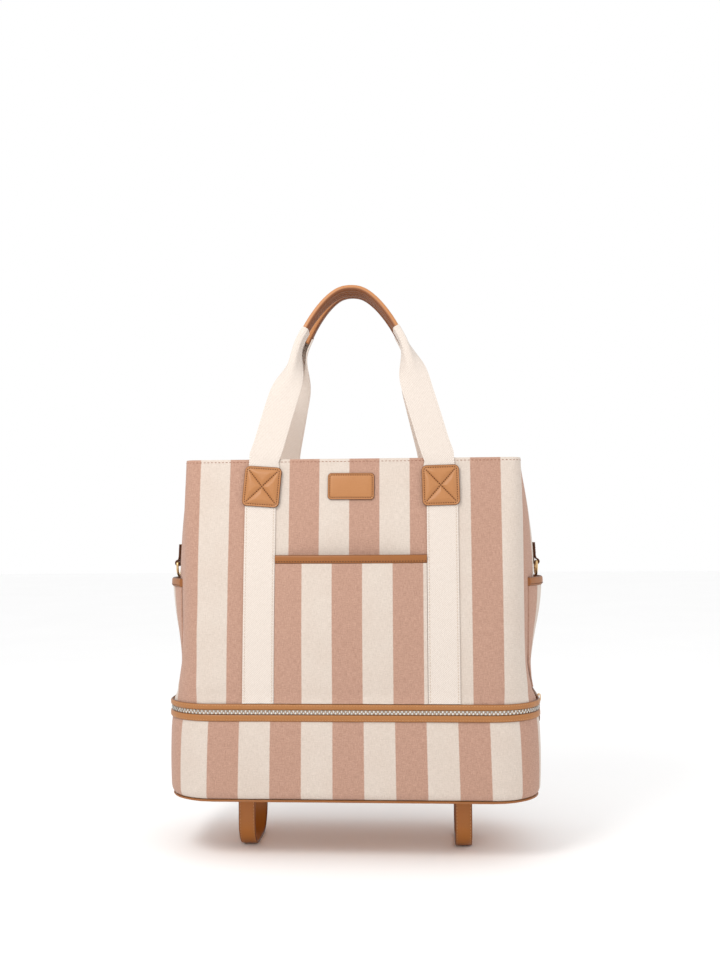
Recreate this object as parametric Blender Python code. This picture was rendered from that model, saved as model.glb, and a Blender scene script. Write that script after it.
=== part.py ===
"""Weekender bag: a striped canvas tote on a zip-round shoe compartment, with two loops for a rolled mat.

Units are metres, +Z is up, -Y is the front. The origin is on the floor under the middle of the bag.
The shoe compartment is the fixed body. The upper bag tips back on the fabric hinge along its rear seam.
"""

import math
from collections import namedtuple

import bmesh
import bpy
from mathutils import Vector

# ---------------------------------------------------------------- driving dimensions
GAP = 0.0003                 # clearance between pieces that touch
CANVAS = 0.0030              # canvas wall with its foam backing
LINING = 0.0010
LEATHER = 0.0022
WEBBING_WIDTH = 0.038
WEBBING_THICK = 0.0020

LOOP_HEIGHT = 0.0705         # from the floor to the underside of the base
LOWER_HALF_WIDTH = 0.2275
LOWER_HALF_DEPTH = 0.1075
LOWER_RADIUS = 0.060
BASE_THICK = 0.0032
BOARD_THICK = 0.0040
PIPING_RADIUS = 0.0013
TUCK = 0.0050                # how far the wall turns in above the base panel
TUCK_HEIGHT = 0.0100

ZIP_Z = 0.1780               # parting plane of the zip round the shoe compartment
ZIP_ROW_HEIGHT = 0.0023      # one row of teeth
ZIP_ROW_PROUD = 0.0015
BAND_PROUD = 0.0023          # how far the leather facings stand out of the wall
LOWER_BAND_HEIGHT = 0.0085
UPPER_BAND_HEIGHT = 0.0073
HEM = 0.0020                 # the shoe lining stops this far below the zip

RIM_Z = 0.4830
FLAP_Z = 0.4700              # the recessed top closure
FLAP_HALF_LENGTH = 0.188
FLAP_HINGE_Y = 0.0672
FACING_HALF_THICK = 0.0010
TAPE_WIDTH = 0.0160
TAPE_HALF_THICK = 0.0005
CHAIN_HALF = 0.0028
CHAIN_RISE = 0.0018
END_TAB_WIDTH = 0.030
END_TAB_HALF_THICK = 0.0012
DIVIDER_INSET = 0.0055
DIVIDER_THICK = 0.0036
MAIN_LINING_FROM = 0.1890
MAIN_LINING_TO = 0.4620

SEWN_FROM = 0.1925           # where the webbing and the pockets start, just above the zip
SEWN_TO = 0.4735
STRAP_X = {-1: 0.1115, 1: 0.1015}     # middle of each webbing leg on the front (-1) and back (1)
PATCH_X = {-1: 0.1098, 1: 0.1000}
PATCH_SIZE = (0.0460, 0.0500)
PATCH_RADIUS = 0.007
PATCH_Z = 0.4490
LABEL_SIZE = (0.0575, 0.0330)
LABEL_RADIUS = 0.004
LABEL_Z = 0.4485
POCKET_CLOTH = 0.0018
BINDING_PROUD = 0.0026
BINDING_SINK = 0.0002        # the bindings sit this much closer to the panel than the cloth does
POCKET_HALF_WIDTH = {-1: 0.0920, 1: 0.0820}
POCKET_TOP = 0.3550
POCKET_BULGE = 0.0095
BINDING_HEIGHT = 0.0098
GUSSET_BULGE = 0.0158
BULGE_FROM = 0.1965

SIDE_POCKET_HALF_WIDTH = 0.050
SIDE_POCKET_BOTTOM = 0.2010
SIDE_POCKET_TOP = 0.3245
SIDE_POCKET_BULGE = 0.0085
SIDE_BINDING_HEIGHT = 0.0105

HANDLE_PIVOT = (0.0765, 0.4765)   # distance from the middle plane, height
HANDLE_FOOT_Y = 0.0726
HANDLE_LEAN_FROM = 0.4848
GRIP_TOP_Z = 0.7030
GRIP_TOP_Y = 0.0136
HANDLE_SWAY = -0.003              # both handles lean a little to the left at the top
GRIP_HALF_WIDTH = 0.0115
GRIP_HALF_THICK = 0.0048
GRIP_RADIUS = 0.0035
# A leg's middle line as (distance from the middle of the bag, height), for the front and the back.
LEG_LINE = {
    -1: ((0.1080, 0.4770), (0.1080, 0.4848), (0.1020, 0.5030), (0.0930, 0.5360), (0.0780, 0.5890),
         (0.0695, 0.6240)),
    1: ((0.1000, 0.4770), (0.1000, 0.4848), (0.0975, 0.5030), (0.0900, 0.5360), (0.0780, 0.5890),
        (0.0695, 0.6240)),
}
GRIP_LINE = ((0.0630, 0.6410), (0.0490, 0.6660), (0.0330, 0.6865), (0.0165, 0.6995), (0.0, GRIP_TOP_Z))
# Half the width and half the thickness of the webbing, up to where the grip begins.
LEG_SECTIONS = ((0.0190, 0.0010), (0.0190, 0.0010), (0.0190, 0.0010), (0.0190, 0.0010),
                (0.0185, 0.0012), (0.0110, 0.0045), (0.0050, 0.0095))

RING_Z = 0.3535
RING_WIRE = 0.0016
RING_PLAY = 0.0009                # room between the wire and its tab
RING_HALF_WIDTH = 0.0130
RING_CORNER = 0.0012
RING_DROP = 0.0170
RING_TAB_WIDTH = 0.0200
RING_TAB_THICK = 0.0018
RING_TAB_LENGTH = 0.0240

MAT_STRAP_X = 0.134
MAT_STRAP_WIDTH = 0.021
MAT_STRAP_HALF_SPAN = 0.0520
MAT_STRAP_BEND = 0.0340
MAT_STRAP_CORNER = 0.0040
SNAP_Z = 0.0470
SNAP_PROFILE = ((0.0065, 0.0), (0.0065, 0.0010), (0.0045, 0.0022))    # radius, height

TOP_SLIDER_X = 0.160
LOWER_SLIDER_Y = 0.034
SLIDER_LENGTH = 0.0140
SLIDER_HALF_WIDTH = 0.0045
SLIDER_RADIUS = 0.0030
SLIDER_TAPER = 0.25
SLIDER_THICK = 0.0015
BAIL_HEIGHT = 0.0034
BAIL_HALF_WIDTH = 0.0008
BAIL_THICK = 0.0010
BAIL_ROOT = 0.0004           # how deep the bail's feet are set in the plate
LINK_WIRE = 0.0007
LINK_HALF_HEIGHT = 0.0019
LINK_REACH = 0.0074          # from the bail to the far end of the link
PULL_WIDTH = 0.0090
PULL_LENGTH = 0.0290
PULL_RADIUS = 0.0025
PULL_THICK = 0.0014
EYELET_INSET = 0.0032
EYELET_PLAY = 0.0006

CORNER_STEPS = 6
FRONT, BACK = -1, 1
LEFT, RIGHT = -1, 1

Level = namedtuple("Level", "z half_width half_depth radius")
LOWER = Level(0.0, LOWER_HALF_WIDTH, LOWER_HALF_DEPTH, LOWER_RADIUS)
# The upper bag narrows and gets shallower from the zip to the rim.
UPPER_LEVELS = (
    Level(0.1806, 0.2275, 0.1075, 0.060),
    Level(0.1882, 0.2255, 0.1070, 0.058),
    Level(0.1965, 0.2195, 0.1030, 0.050),
    Level(0.2300, 0.2125, 0.1010, 0.043),
    Level(0.2700, 0.2105, 0.0985, 0.036),
    Level(0.3450, 0.2100, 0.0905, 0.028),
    Level(0.4150, 0.2100, 0.0805, 0.020),
    Level(RIM_Z, 0.2085, 0.0700, 0.014),
)


# ---------------------------------------------------------------- materials
def linear(channel):
    """An sRGB channel from 0 to 255 as the linear value that a shader takes."""
    value = channel / 255
    return value / 12.92 if value <= 0.04045 else ((value + 0.055) / 1.055) ** 2.4


def material(name, colour, roughness, metallic=0.0):
    made = bpy.data.materials.new(name)
    made.use_nodes = True
    shader = made.node_tree.nodes["Principled BSDF"]
    shader.inputs["Base Color"].default_value = (*map(linear, colour), 1.0)
    shader.inputs["Roughness"].default_value = roughness
    shader.inputs["Metallic"].default_value = metallic
    return made


# ---------------------------------------------------------------- building helpers
def add_object(name, mesh, finish, body=None):
    """An object from a mesh in world coordinates, with its origin on its body's joint axis."""
    obj = bpy.data.objects.new(name, mesh)
    bpy.context.scene.collection.objects.link(obj)
    mesh.materials.append(finish)
    if body is not None:
        mesh.transform(body.matrix_basis.inverted())
        obj.parent = body
    return obj


def add_body(name, position):
    """An empty on a joint's axis, which carries the pieces that move with it."""
    empty = bpy.data.objects.new(name, None)
    empty.location = position
    bpy.context.scene.collection.objects.link(empty)
    return empty


def mesh_from(name, points, faces, smooth=False):
    """A closed mesh with its faces pointing out."""
    work = bmesh.new()
    made = [work.verts.new(p) for p in points]
    for face in faces:
        work.faces.new([made[i] for i in face])
    bmesh.ops.recalc_face_normals(work, faces=work.faces)
    mesh = bpy.data.meshes.new(name)
    work.to_mesh(mesh)
    work.free()
    if smooth:
        mesh.shade_smooth()
        mesh.set_sharp_from_angle(angle=math.radians(35))
    return mesh


def end_faces(first, count, ladder):
    """The faces that close one end: one polygon, or a ladder of quads between a section's two edges."""
    if not ladder:
        return [tuple(range(first, first + count))]
    last = first + count - 1
    return [(first + k, first + k + 1, last - k - 1, last - k) for k in range(count // 2 - 1)]


def loft(name, sections, closed=False, smooth=False, ladder=False):
    """A solid through sections with the same number of points each, closed at both ends."""
    count = len(sections[0])
    points = [p for section in sections for p in section]
    steps = len(sections) if closed else len(sections) - 1
    faces = []
    for i in range(steps):
        here, there = i * count, (i + 1) % len(sections) * count
        for k in range(count):
            following = (k + 1) % count
            faces.append((here + k, there + k, there + following, here + following))
    if not closed:
        faces += end_faces(0, count, ladder)
        faces += end_faces(len(points) - count, count, ladder)
    return mesh_from(name, points, faces, smooth)


def between(name, outer, inner):
    """A solid between two grids of points that have the same rows and columns."""
    sections = []
    for outer_row, inner_row in zip(outer, inner):
        sections.append(list(outer_row) + list(reversed(inner_row)))
    return loft(name, sections, ladder=True)


def arc(centre, radius, start, end, steps):
    """Points on an arc from start to end degrees."""
    found = []
    for i in range(steps + 1):
        angle = math.radians(start + (end - start) * i / steps)
        found.append((centre[0] + radius * math.cos(angle), centre[1] + radius * math.sin(angle)))
    return found


def rounded_rectangle(width, height, radius, steps=4):
    """A closed outline round the origin."""
    across, up = width / 2 - radius, height / 2 - radius
    outline = arc((across, up), radius, 0, 90, steps)
    outline += arc((-across, up), radius, 90, 180, steps)
    outline += arc((-across, -up), radius, 180, 270, steps)
    outline += arc((across, -up), radius, 270, 360, steps)
    return outline


def ribbon_outline(centre_line, thickness, closed=False):
    """Points on both sides of a flat line, a constant thickness apart."""
    line = [Vector(p) for p in centre_line]
    count = len(line)
    near, far = [], []
    for i, point in enumerate(line):
        before = line[i - 1] if closed or i else point
        after = line[(i + 1) % count] if closed or i < count - 1 else point
        incoming = (point - before).normalized() if before != point else (after - point).normalized()
        outgoing = (after - point).normalized() if after != point else incoming
        along = (incoming + outgoing).normalized()
        reach = thickness / 2 / max(along.dot(incoming), 0.5)
        side = Vector((-along.y, along.x)) * reach
        near.append(point + side)
        far.append(point - side)
    return near, far


def ribbon(name, centre_line, thickness, place, start, end, closed=False):
    """A strap whose edge view is a thick line. place(a, b, w) gives a point at w across its width."""
    near, far = ribbon_outline(centre_line, thickness, closed)
    sections = []
    for a, b in zip(near, far):
        sections.append([place(*a, start), place(*a, end), place(*b, end), place(*b, start)])
    return loft(name, sections, closed)


def tube(name, points, radius, finish, body=None):
    """A closed wire loop through points, of round section."""
    curve = bpy.data.curves.new(name, "CURVE")
    curve.dimensions = "3D"
    curve.bevel_depth = radius
    curve.bevel_resolution = 2
    curve.use_fill_caps = True
    spline = curve.splines.new("POLY")
    spline.points.add(len(points) - 1)
    origin = body.location if body is not None else Vector()
    for target, point in zip(spline.points, points):
        target.co = (*(Vector(point) - origin), 1.0)
    spline.use_cyclic_u = True
    obj = bpy.data.objects.new(name, curve)
    bpy.context.scene.collection.objects.link(obj)
    curve.materials.append(finish)
    obj.parent = body
    return obj


# ---------------------------------------------------------------- the bag's outline
STRETCHES = ("back_right", "corner_back_right", "right", "corner_front_right", "front",
             "corner_front_left", "left", "corner_back_left", "back_left")
FRONT_PANEL = STRETCHES[3:6]
ZIP_RUN = STRETCHES[1:8]
CORNERS = {"corner_back_right": (1, 1, 90, 0), "corner_front_right": (1, -1, 0, -90),
           "corner_front_left": (-1, -1, 270, 180), "corner_back_left": (-1, 1, 180, 90)}


def level_at(z):
    """The upper bag's outline at a height, between the two nearest levels."""
    for low, high in zip(UPPER_LEVELS, UPPER_LEVELS[1:]):
        if z <= high.z:
            share = max(0.0, (z - low.z) / (high.z - low.z))
            return Level(z, *(a + (b - a) * share for a, b in zip(low[1:], high[1:])))
    return UPPER_LEVELS[-1]


def stretch_points(level, offset, name):
    """The points of one stretch, clockwise from above."""
    flat_x = level.half_width - level.radius
    flat_y = level.half_depth - level.radius
    out_x = level.half_width + offset
    out_y = level.half_depth + offset
    if name in CORNERS:
        x_sign, y_sign, start, end = CORNERS[name]
        return arc((x_sign * flat_x, y_sign * flat_y), level.radius + offset, start, end, CORNER_STEPS)
    ends = {
        "back_right": ((0.0, out_y), (flat_x, out_y)),
        "right": ((out_x, flat_y), (out_x, -flat_y)),
        "front": ((flat_x, -out_y), (-flat_x, -out_y)),
        "left": ((-out_x, -flat_y), (-out_x, flat_y)),
        "back_left": ((-flat_x, out_y), (0.0, out_y)),
    }
    return list(ends[name])


def run_points(level, offset, names):
    """The joined points of several stretches, with each shared point once."""
    joined = []
    for name in names:
        points = stretch_points(level, offset, name)
        joined += points[1:] if joined else points
    return joined


def wall(name, section, names=STRETCHES):
    """A wall along the outline. section lists (level, height, offset) round the wall's cut edge."""
    closed = tuple(names) == STRETCHES
    columns = []
    for level, height, offset in section:
        points = run_points(level, offset, names)
        if closed:
            points.pop()
        columns.append([(x, y, height) for x, y in points])
    return loft(name, [list(s) for s in zip(*columns)], closed, smooth=True, ladder=True)


def lower_section(bottom, top, inner, outer):
    """The cut edge of a straight wall of the shoe compartment."""
    return [(LOWER, bottom, inner), (LOWER, bottom, outer), (LOWER, top, outer), (LOWER, top, inner)]


def upper_section(bottom, top, inner, outer):
    """The cut edge of a wall that follows the upper bag."""
    heights = [bottom] + [v.z for v in UPPER_LEVELS if bottom < v.z < top] + [top]
    edge = [(level_at(z), z, outer) for z in heights]
    return edge + [(level_at(z), z, inner) for z in reversed(heights)]


def slab(name, level, offset, bottom, top):
    """A flat board with the outline's shape."""
    outline = run_points(level, offset, STRETCHES)[:-1]
    return loft(name, [[(x, y, z) for x, y in outline] for z in (bottom, top)])


def face_y(side, z, proud=0.0):
    """Y of the front or back panel's face at a height, or a little proud of it."""
    return side * (level_at(z).half_depth + proud)


def panel_patch(name, centre_x, centre_z, size, radius, proud, thickness, side):
    """A flat rounded patch lying on the front or back panel."""
    outline = rounded_rectangle(*size, radius)
    layers = []
    for depth in (proud, proud + thickness):
        layer = []
        for dx, dz in outline:
            z = centre_z + dz
            layer.append((centre_x + dx, face_y(side, z, depth), z))
        layers.append(layer)
    return loft(name, layers)


def heights_between(bottom, top, step=0.04):
    """Evenly spaced heights together with the outline's own levels."""
    count = max(1, round((top - bottom) / step))
    even = [bottom + (top - bottom) * i / count for i in range(count + 1)]
    own = [v.z for v in UPPER_LEVELS if bottom + 0.004 < v.z < top - 0.004]
    return sorted(set(even + own))


# ---------------------------------------------------------------- shoe compartment
def build_base(finish):
    top = LOOP_HEIGHT + BASE_THICK
    add_object("base_panel", slab("base_panel", LOWER, -TUCK, LOOP_HEIGHT, top), finish["leather"])
    board_bottom = top + 2 * GAP
    inside = -(TUCK + CANVAS + 2 * GAP)
    board = slab("base_board", LOWER, inside, board_bottom, board_bottom + BOARD_THICK)
    add_object("base_board", board, finish["board"])
    bead_middle = GAP + PIPING_RADIUS - TUCK
    bead = []
    for across, up in arc((bead_middle, top - PIPING_RADIUS), PIPING_RADIUS, 0, 300, 5):
        bead.append((LOWER, up, across))
    add_object("base_piping", wall("base_piping", bead), finish["leather"])


def build_lower_wall(finish):
    bottom = LOOP_HEIGHT + BASE_THICK + GAP
    row_bottom = ZIP_Z - GAP / 2 - ZIP_ROW_HEIGHT
    top = row_bottom - GAP
    turned = [(bottom + TUCK_HEIGHT * (1 - math.cos(a)), -TUCK * (1 - math.sin(a)))
              for a in (math.radians(22.5 * k) for k in range(5))]
    section = [(LOWER, z, offset) for z, offset in turned] + [(LOWER, top, 0.0), (LOWER, top, -CANVAS)]
    section += [(LOWER, z, offset - CANVAS) for z, offset in reversed(turned)]
    add_object("lower_wall", wall("lower_wall", section), finish["canvas"])
    inside = -(CANVAS + GAP)
    lining_bottom = bottom + TUCK_HEIGHT + GAP
    section = lower_section(lining_bottom, top - HEM, inside - LINING, inside)
    add_object("lower_lining", wall("lower_lining", section), finish["lining"])
    section = lower_section(top - LOWER_BAND_HEIGHT, top, GAP, BAND_PROUD)
    add_object("lower_band", wall("lower_band", section), finish["leather"])
    section = lower_section(row_bottom, ZIP_Z - GAP / 2, -CANVAS, ZIP_ROW_PROUD)
    add_object("lower_zip_row", wall("lower_zip_row", section, ZIP_RUN), finish["brass"])
    section = lower_section(row_bottom, UPPER_LEVELS[0].z - GAP, -CANVAS, 0.0)
    hinge = wall("fabric_hinge", section, ("back_left", "back_right"))
    add_object("fabric_hinge", hinge, finish["canvas"])


def mat_strap_line():
    """The loop's middle line in (y, z): flat on the floor, up both sides and along the base."""
    low = LEATHER / 2
    high = LOOP_HEIGHT - GAP - LEATHER / 2
    span, bend, corner = MAT_STRAP_HALF_SPAN, MAT_STRAP_BEND, MAT_STRAP_CORNER
    line = arc((span - bend, low + bend), bend, -90, 0, 6)
    line += arc((span - corner, high - corner), corner, 0, 90, 2)
    line += arc((corner - span, high - corner), corner, 90, 180, 2)
    line += arc((bend - span, low + bend), bend, 180, 270, 6)
    return line


def build_mat_strap(side, word, finish):
    def place(y, z, across):
        return (side * MAT_STRAP_X + across, y, z)

    half = MAT_STRAP_WIDTH / 2
    strap = ribbon(f"mat_strap_{word}", mat_strap_line(), LEATHER, place, -half, half, closed=True)
    add_object(f"mat_strap_{word}", strap, finish["leather"])
    back = MAT_STRAP_HALF_SPAN + LEATHER / 2 + GAP
    rings = []
    for radius, rise in SNAP_PROFILE:
        circle = arc((side * MAT_STRAP_X, SNAP_Z), radius, 0, 330, 11)
        rings.append([(x, back + rise, z) for x, z in circle])
    snap = loft(f"mat_strap_snap_{word}", rings, smooth=True)
    add_object(f"mat_strap_snap_{word}", snap, finish["brass"])


# ---------------------------------------------------------------- upper bag
def build_upper_shell(finish, body):
    bottom = UPPER_LEVELS[0].z
    section = upper_section(bottom, RIM_Z, -CANVAS, 0.0)
    add_object("front_panel", wall("front_panel", section, FRONT_PANEL), finish["canvas"], body)
    build_gusset(LEFT, "left", finish, body)
    build_gusset(RIGHT, "right", finish, body)
    mirrored = wall("back_panel", section, FRONT_PANEL)
    for vertex in mirrored.vertices:
        vertex.co.y = -vertex.co.y
    mirrored.flip_normals()
    add_object("back_panel", mirrored, finish["canvas"], body)

    band = [(LOWER, z, offset) for z, offset in (
        (bottom, GAP), (bottom, BAND_PROUD),
        (bottom + UPPER_BAND_HEIGHT, BAND_PROUD), (bottom + UPPER_BAND_HEIGHT, GAP))]
    add_object("upper_band", wall("upper_band", band), finish["leather"], body)
    row_bottom = ZIP_Z + GAP / 2
    section = lower_section(row_bottom, bottom - GAP, -CANVAS, ZIP_ROW_PROUD)
    add_object("upper_zip_row", wall("upper_zip_row", section, ZIP_RUN), finish["brass"], body)
    divider = slab("divider", LOWER, -DIVIDER_INSET, bottom + GAP, bottom + GAP + DIVIDER_THICK)
    add_object("divider", divider, finish["lining"], body)
    inside = -(CANVAS + GAP)
    section = upper_section(MAIN_LINING_FROM, MAIN_LINING_TO, inside - LINING, inside)
    add_object("main_lining", wall("main_lining", section), finish["lining"], body)


def gusset_x(y, z):
    """How far out a gusset's face is. It is fullest in the middle."""
    level = level_at(z)
    across = min(1.0, abs(y) / (level.half_depth - level.radius))
    up = max(0.0, (z - BULGE_FROM) / (RIM_Z - BULGE_FROM))
    return level.half_width + GUSSET_BULGE * math.cos(across * math.pi / 2) * math.sin(up * math.pi)


def build_gusset(hand, word, finish, body):
    """A side panel between the corners of the front and back panels."""
    outer, inner = [], []
    for z in heights_between(UPPER_LEVELS[0].z, RIM_Z):
        level = level_at(z)
        reach = level.half_depth - level.radius - GAP
        for row, depth in ((inner, CANVAS), (outer, 0.0)):
            columns = [reach * i / 4 for i in range(-4, 5)]
            row.append([(hand * (gusset_x(y, z) - depth), y, z) for y in columns])
    add_object(f"gusset_{word}", between(f"gusset_{word}", outer, inner), finish["canvas"], body)


def build_webbing_leg(side, hand, name, finish, body):
    """The stretch of handle webbing that is sewn down the panel."""
    half = WEBBING_WIDTH / 2
    outer, inner = [], []
    for z in heights_between(SEWN_FROM, SEWN_TO):
        for row, proud in ((inner, GAP), (outer, GAP + WEBBING_THICK)):
            y = face_y(side, z, proud)
            row.append([(hand * STRAP_X[side] - half, y, z), (hand * STRAP_X[side] + half, y, z)])
    add_object(name, between(name, outer, inner), finish["webbing"], body)


def build_pocket(side, word, finish, body):
    """A slip pocket between the webbing legs. Its mouth stands a little off the panel."""
    half_width = POCKET_HALF_WIDTH[side]
    columns = [half_width * i / 4 for i in range(-4, 5)]
    top = POCKET_TOP + BINDING_HEIGHT

    def stand_off(x, z):
        share = (z - SEWN_FROM) / (top - SEWN_FROM)
        crown = 1 - (x / half_width) ** 2
        return 2 * GAP + POCKET_BULGE * crown * math.sin(share * math.pi / 2)

    def sheet(name, bottom, top, inner_shift, outer_shift):
        outer, inner = [], []
        for z in heights_between(bottom, top):
            for row, shift in ((inner, inner_shift), (outer, outer_shift)):
                row.append([(x, face_y(side, z, stand_off(x, z) + shift), z) for x in columns])
        return between(name, outer, inner)

    pocket = sheet(f"{word}_pocket", SEWN_FROM, POCKET_TOP - GAP, 0.0, POCKET_CLOTH)
    add_object(f"{word}_pocket", pocket, finish["canvas"], body)
    binding = sheet(f"{word}_pocket_binding", POCKET_TOP, top, -BINDING_SINK, BINDING_PROUD)
    add_object(f"{word}_pocket_binding", binding, finish["leather"], body)


def build_side_pocket(hand, word, finish, body):
    """The pouch on a gusset, fullest at its mouth."""
    columns = [SIDE_POCKET_HALF_WIDTH * i / 6 for i in range(-6, 7)]
    top = SIDE_POCKET_TOP + SIDE_BINDING_HEIGHT

    def stand_off(y, z):
        share = (z - SIDE_POCKET_BOTTOM) / (top - SIDE_POCKET_BOTTOM)
        fullness = share * share * (3 - 2 * share)
        crown = max(0.0, math.cos(y / SIDE_POCKET_HALF_WIDTH * math.pi / 2)) ** 0.8
        return 2 * GAP + SIDE_POCKET_BULGE * crown * fullness

    def sheet(name, low, high, inner_shift, outer_shift):
        outer, inner = [], []
        for z in heights_between(low, high, 0.03):
            for row, shift in ((inner, inner_shift), (outer, outer_shift)):
                row.append([(hand * (gusset_x(y, z) + stand_off(y, z) + shift), y, z) for y in columns])
        return between(name, outer, inner)

    pouch = sheet(f"side_pocket_{word}", SIDE_POCKET_BOTTOM, SIDE_POCKET_TOP - GAP, 0.0, POCKET_CLOTH)
    add_object(f"side_pocket_{word}", pouch, finish["canvas"], body)
    binding = sheet(f"side_pocket_binding_{word}", SIDE_POCKET_TOP, top, -BINDING_SINK, BINDING_PROUD)
    add_object(f"side_pocket_binding_{word}", binding, finish["leather"], body)


def tab_line(length, wire, thickness):
    """A strip's middle line: up the gusset, round the wire at (0, 0) and back up over itself."""
    middle = wire + RING_PLAY + thickness / 2
    over = thickness + 2 * GAP - middle
    line = [(-middle, length), (-middle, length / 2)]
    line += arc((0.0, 0.0), middle, 180, 450, 14)
    return line + [(over, 2.2 * middle), (over, length)]


def ring_x():
    """How far out a D-ring hangs: its tab lies on the gusset."""
    return gusset_x(0.0, RING_Z) + GAP + RING_TAB_THICK + RING_WIRE + RING_PLAY


def build_ring(hand, word, finish, body, ring_body):
    """A D-ring that hangs in a leather tab on the gusset."""
    lean = (gusset_x(0.0, RING_Z) - gusset_x(0.0, RING_Z + RING_TAB_LENGTH)) / RING_TAB_LENGTH

    def place(a, b, across):
        return (hand * (ring_x() + a - lean * max(b, 0.0)), across, RING_Z + b)

    half = RING_TAB_WIDTH / 2
    line = tab_line(RING_TAB_LENGTH, RING_WIRE, RING_TAB_THICK)
    tab = ribbon(f"ring_tab_{word}", line, RING_TAB_THICK, place, -half, half)
    add_object(f"ring_tab_{word}", tab, finish["leather"], body)
    centre = RING_DROP - RING_HALF_WIDTH
    bow = arc((0.0, -centre), RING_HALF_WIDTH, 0, -180, 12)
    loop = [(-RING_HALF_WIDTH, -RING_CORNER), (RING_CORNER - RING_HALF_WIDTH, 0.0)]
    loop += [(RING_HALF_WIDTH - RING_CORNER, 0.0), (RING_HALF_WIDTH, -RING_CORNER)]
    points = [(hand * ring_x(), y, RING_Z + z) for y, z in loop + bow]
    tube(f"ring_{word}", points, RING_WIRE, finish["brass"], ring_body)


# ---------------------------------------------------------------- top closure
def build_flap(side, word, finish, body):
    """Half of the recessed top: a canvas facing with its zip tape and row of teeth."""
    half = FLAP_HALF_LENGTH
    near = side * (TAPE_WIDTH + GAP)
    far = side * FLAP_HINGE_Y
    facing = [(far, -FACING_HALF_THICK), (near, -FACING_HALF_THICK),
              (near, FACING_HALF_THICK), (far, FACING_HALF_THICK)]
    tape = [(side * TAPE_WIDTH, -TAPE_HALF_THICK), (side * CHAIN_HALF, -TAPE_HALF_THICK),
            (side * CHAIN_HALF, -CHAIN_RISE), (side * GAP, -CHAIN_RISE),
            (side * GAP, CHAIN_RISE), (side * CHAIN_HALF, CHAIN_RISE),
            (side * CHAIN_HALF, TAPE_HALF_THICK), (side * TAPE_WIDTH, TAPE_HALF_THICK)]
    for name, section, slot in ((f"top_facing_{word}", facing, "canvas"),
                                (f"top_zip_row_{word}", tape, "brass")):
        ends = [[(x, y, FLAP_Z + z) for y, z in section] for x in (-half, half)]
        add_object(name, loft(name, ends), finish[slot], body)


def build_end_tab(hand, word, finish, body):
    """The leather tab that closes one end of the top zip."""
    start = FLAP_HALF_LENGTH + 2 * GAP
    end = level_at(FLAP_Z).half_width - CANVAS - GAP
    outline = rounded_rectangle(end - start, END_TAB_WIDTH, SLIDER_RADIUS)
    middle = hand * (start + end) / 2
    layers = [[(middle + a, b, FLAP_Z + z) for a, b in outline]
              for z in (-END_TAB_HALF_THICK, END_TAB_HALF_THICK)]
    add_object(f"zip_end_tab_{word}", loft(f"zip_end_tab_{word}", layers), finish["leather"], body)


# ---------------------------------------------------------------- zip sliders
def modify_by(target, cutter, operation):
    """Joins a solid to another or cuts it out, and leaves it out of the model itself."""
    cutter.hide_render = True
    cutter.display_type = "WIRE"
    change = target.modifiers.new(cutter.name, "BOOLEAN")
    change.operation = operation
    change.object = cutter


def build_slider(prefix, place, finish, slider_body, pull_body):
    """A slider with a bail, and a leather pull that hangs on it by a wire link.

    place(along, down, up) is the slider's own frame: along the teeth, the way the pull hangs, and outwards.
    """
    half_length = SLIDER_LENGTH / 2
    outline = []
    for along, down in rounded_rectangle(SLIDER_LENGTH, 2 * SLIDER_HALF_WIDTH, SLIDER_RADIUS):
        waist = 1 - SLIDER_TAPER * (along / half_length) ** 2 if along > 0 else 1.0
        outline.append((along, down * waist))
    layers = [[place(a, b, up) for a, b in outline] for up in (0.0, SLIDER_THICK)]
    name = f"{prefix}_slider"
    plate = add_object(name, loft(name, layers), finish["brass"], slider_body)

    root = SLIDER_THICK - BAIL_ROOT
    foot = BAIL_HEIGHT + BAIL_HALF_WIDTH
    bail_line = [(-foot, root), *arc((0.0, SLIDER_THICK), BAIL_HEIGHT, 180, 0, 8), (foot, root)]

    def along_teeth(along, up, down):
        return place(along, down, up)

    bail = ribbon(f"{prefix}_bail", bail_line, BAIL_THICK, along_teeth, -BAIL_HALF_WIDTH, BAIL_HALF_WIDTH)
    modify_by(plate, add_object(f"{prefix}_bail", bail, finish["brass"], slider_body), "UNION")

    height = SLIDER_THICK + BAIL_HEIGHT
    track = arc((LINK_REACH - LINK_HALF_HEIGHT, 0.0), LINK_HALF_HEIGHT, 90, -90, 8)
    track += arc((0.0, 0.0), LINK_HALF_HEIGHT, -90, -270, 8)
    link = [place(0.0, down, height + up) for down, up in track]
    tube(f"{prefix}_link", link, LINK_WIRE, finish["brass"], pull_body)

    top = LINK_REACH - EYELET_INSET
    name = f"{prefix}_pull"
    outline = rounded_rectangle(PULL_WIDTH, PULL_LENGTH, PULL_RADIUS)
    middle = top + PULL_LENGTH / 2
    layers = [[place(a, middle + b, height + up) for a, b in outline]
              for up in (-PULL_THICK / 2, PULL_THICK / 2)]
    pull = add_object(name, loft(name, layers), finish["leather"], pull_body)
    hole = arc((0.0, LINK_REACH), LINK_WIRE + EYELET_PLAY, 0, 330, 11)
    layers = [[place(a, b, height + up) for a, b in hole] for up in (-PULL_THICK, PULL_THICK)]
    cutter = add_object(f"{prefix}_eyelet", loft(f"{prefix}_eyelet", layers), finish["leather"], pull_body)
    modify_by(pull, cutter, "DIFFERENCE")


# ---------------------------------------------------------------- handles
def handle_point(side, x, z, across):
    """A point of a handle: it leans towards the middle plane above the rim, and sways with height."""
    rise = max(0.0, z - HANDLE_LEAN_FROM)
    slope = (HANDLE_FOOT_Y - GRIP_TOP_Y) / (GRIP_TOP_Z - HANDLE_LEAN_FROM)
    lean = math.atan(slope) if rise else 0.0
    sway = HANDLE_SWAY * rise / (GRIP_TOP_Z - HANDLE_LEAN_FROM)
    distance = HANDLE_FOOT_Y - slope * rise
    return (x + sway, side * (distance + across * math.cos(lean)), z + across * math.sin(lean))


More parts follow.
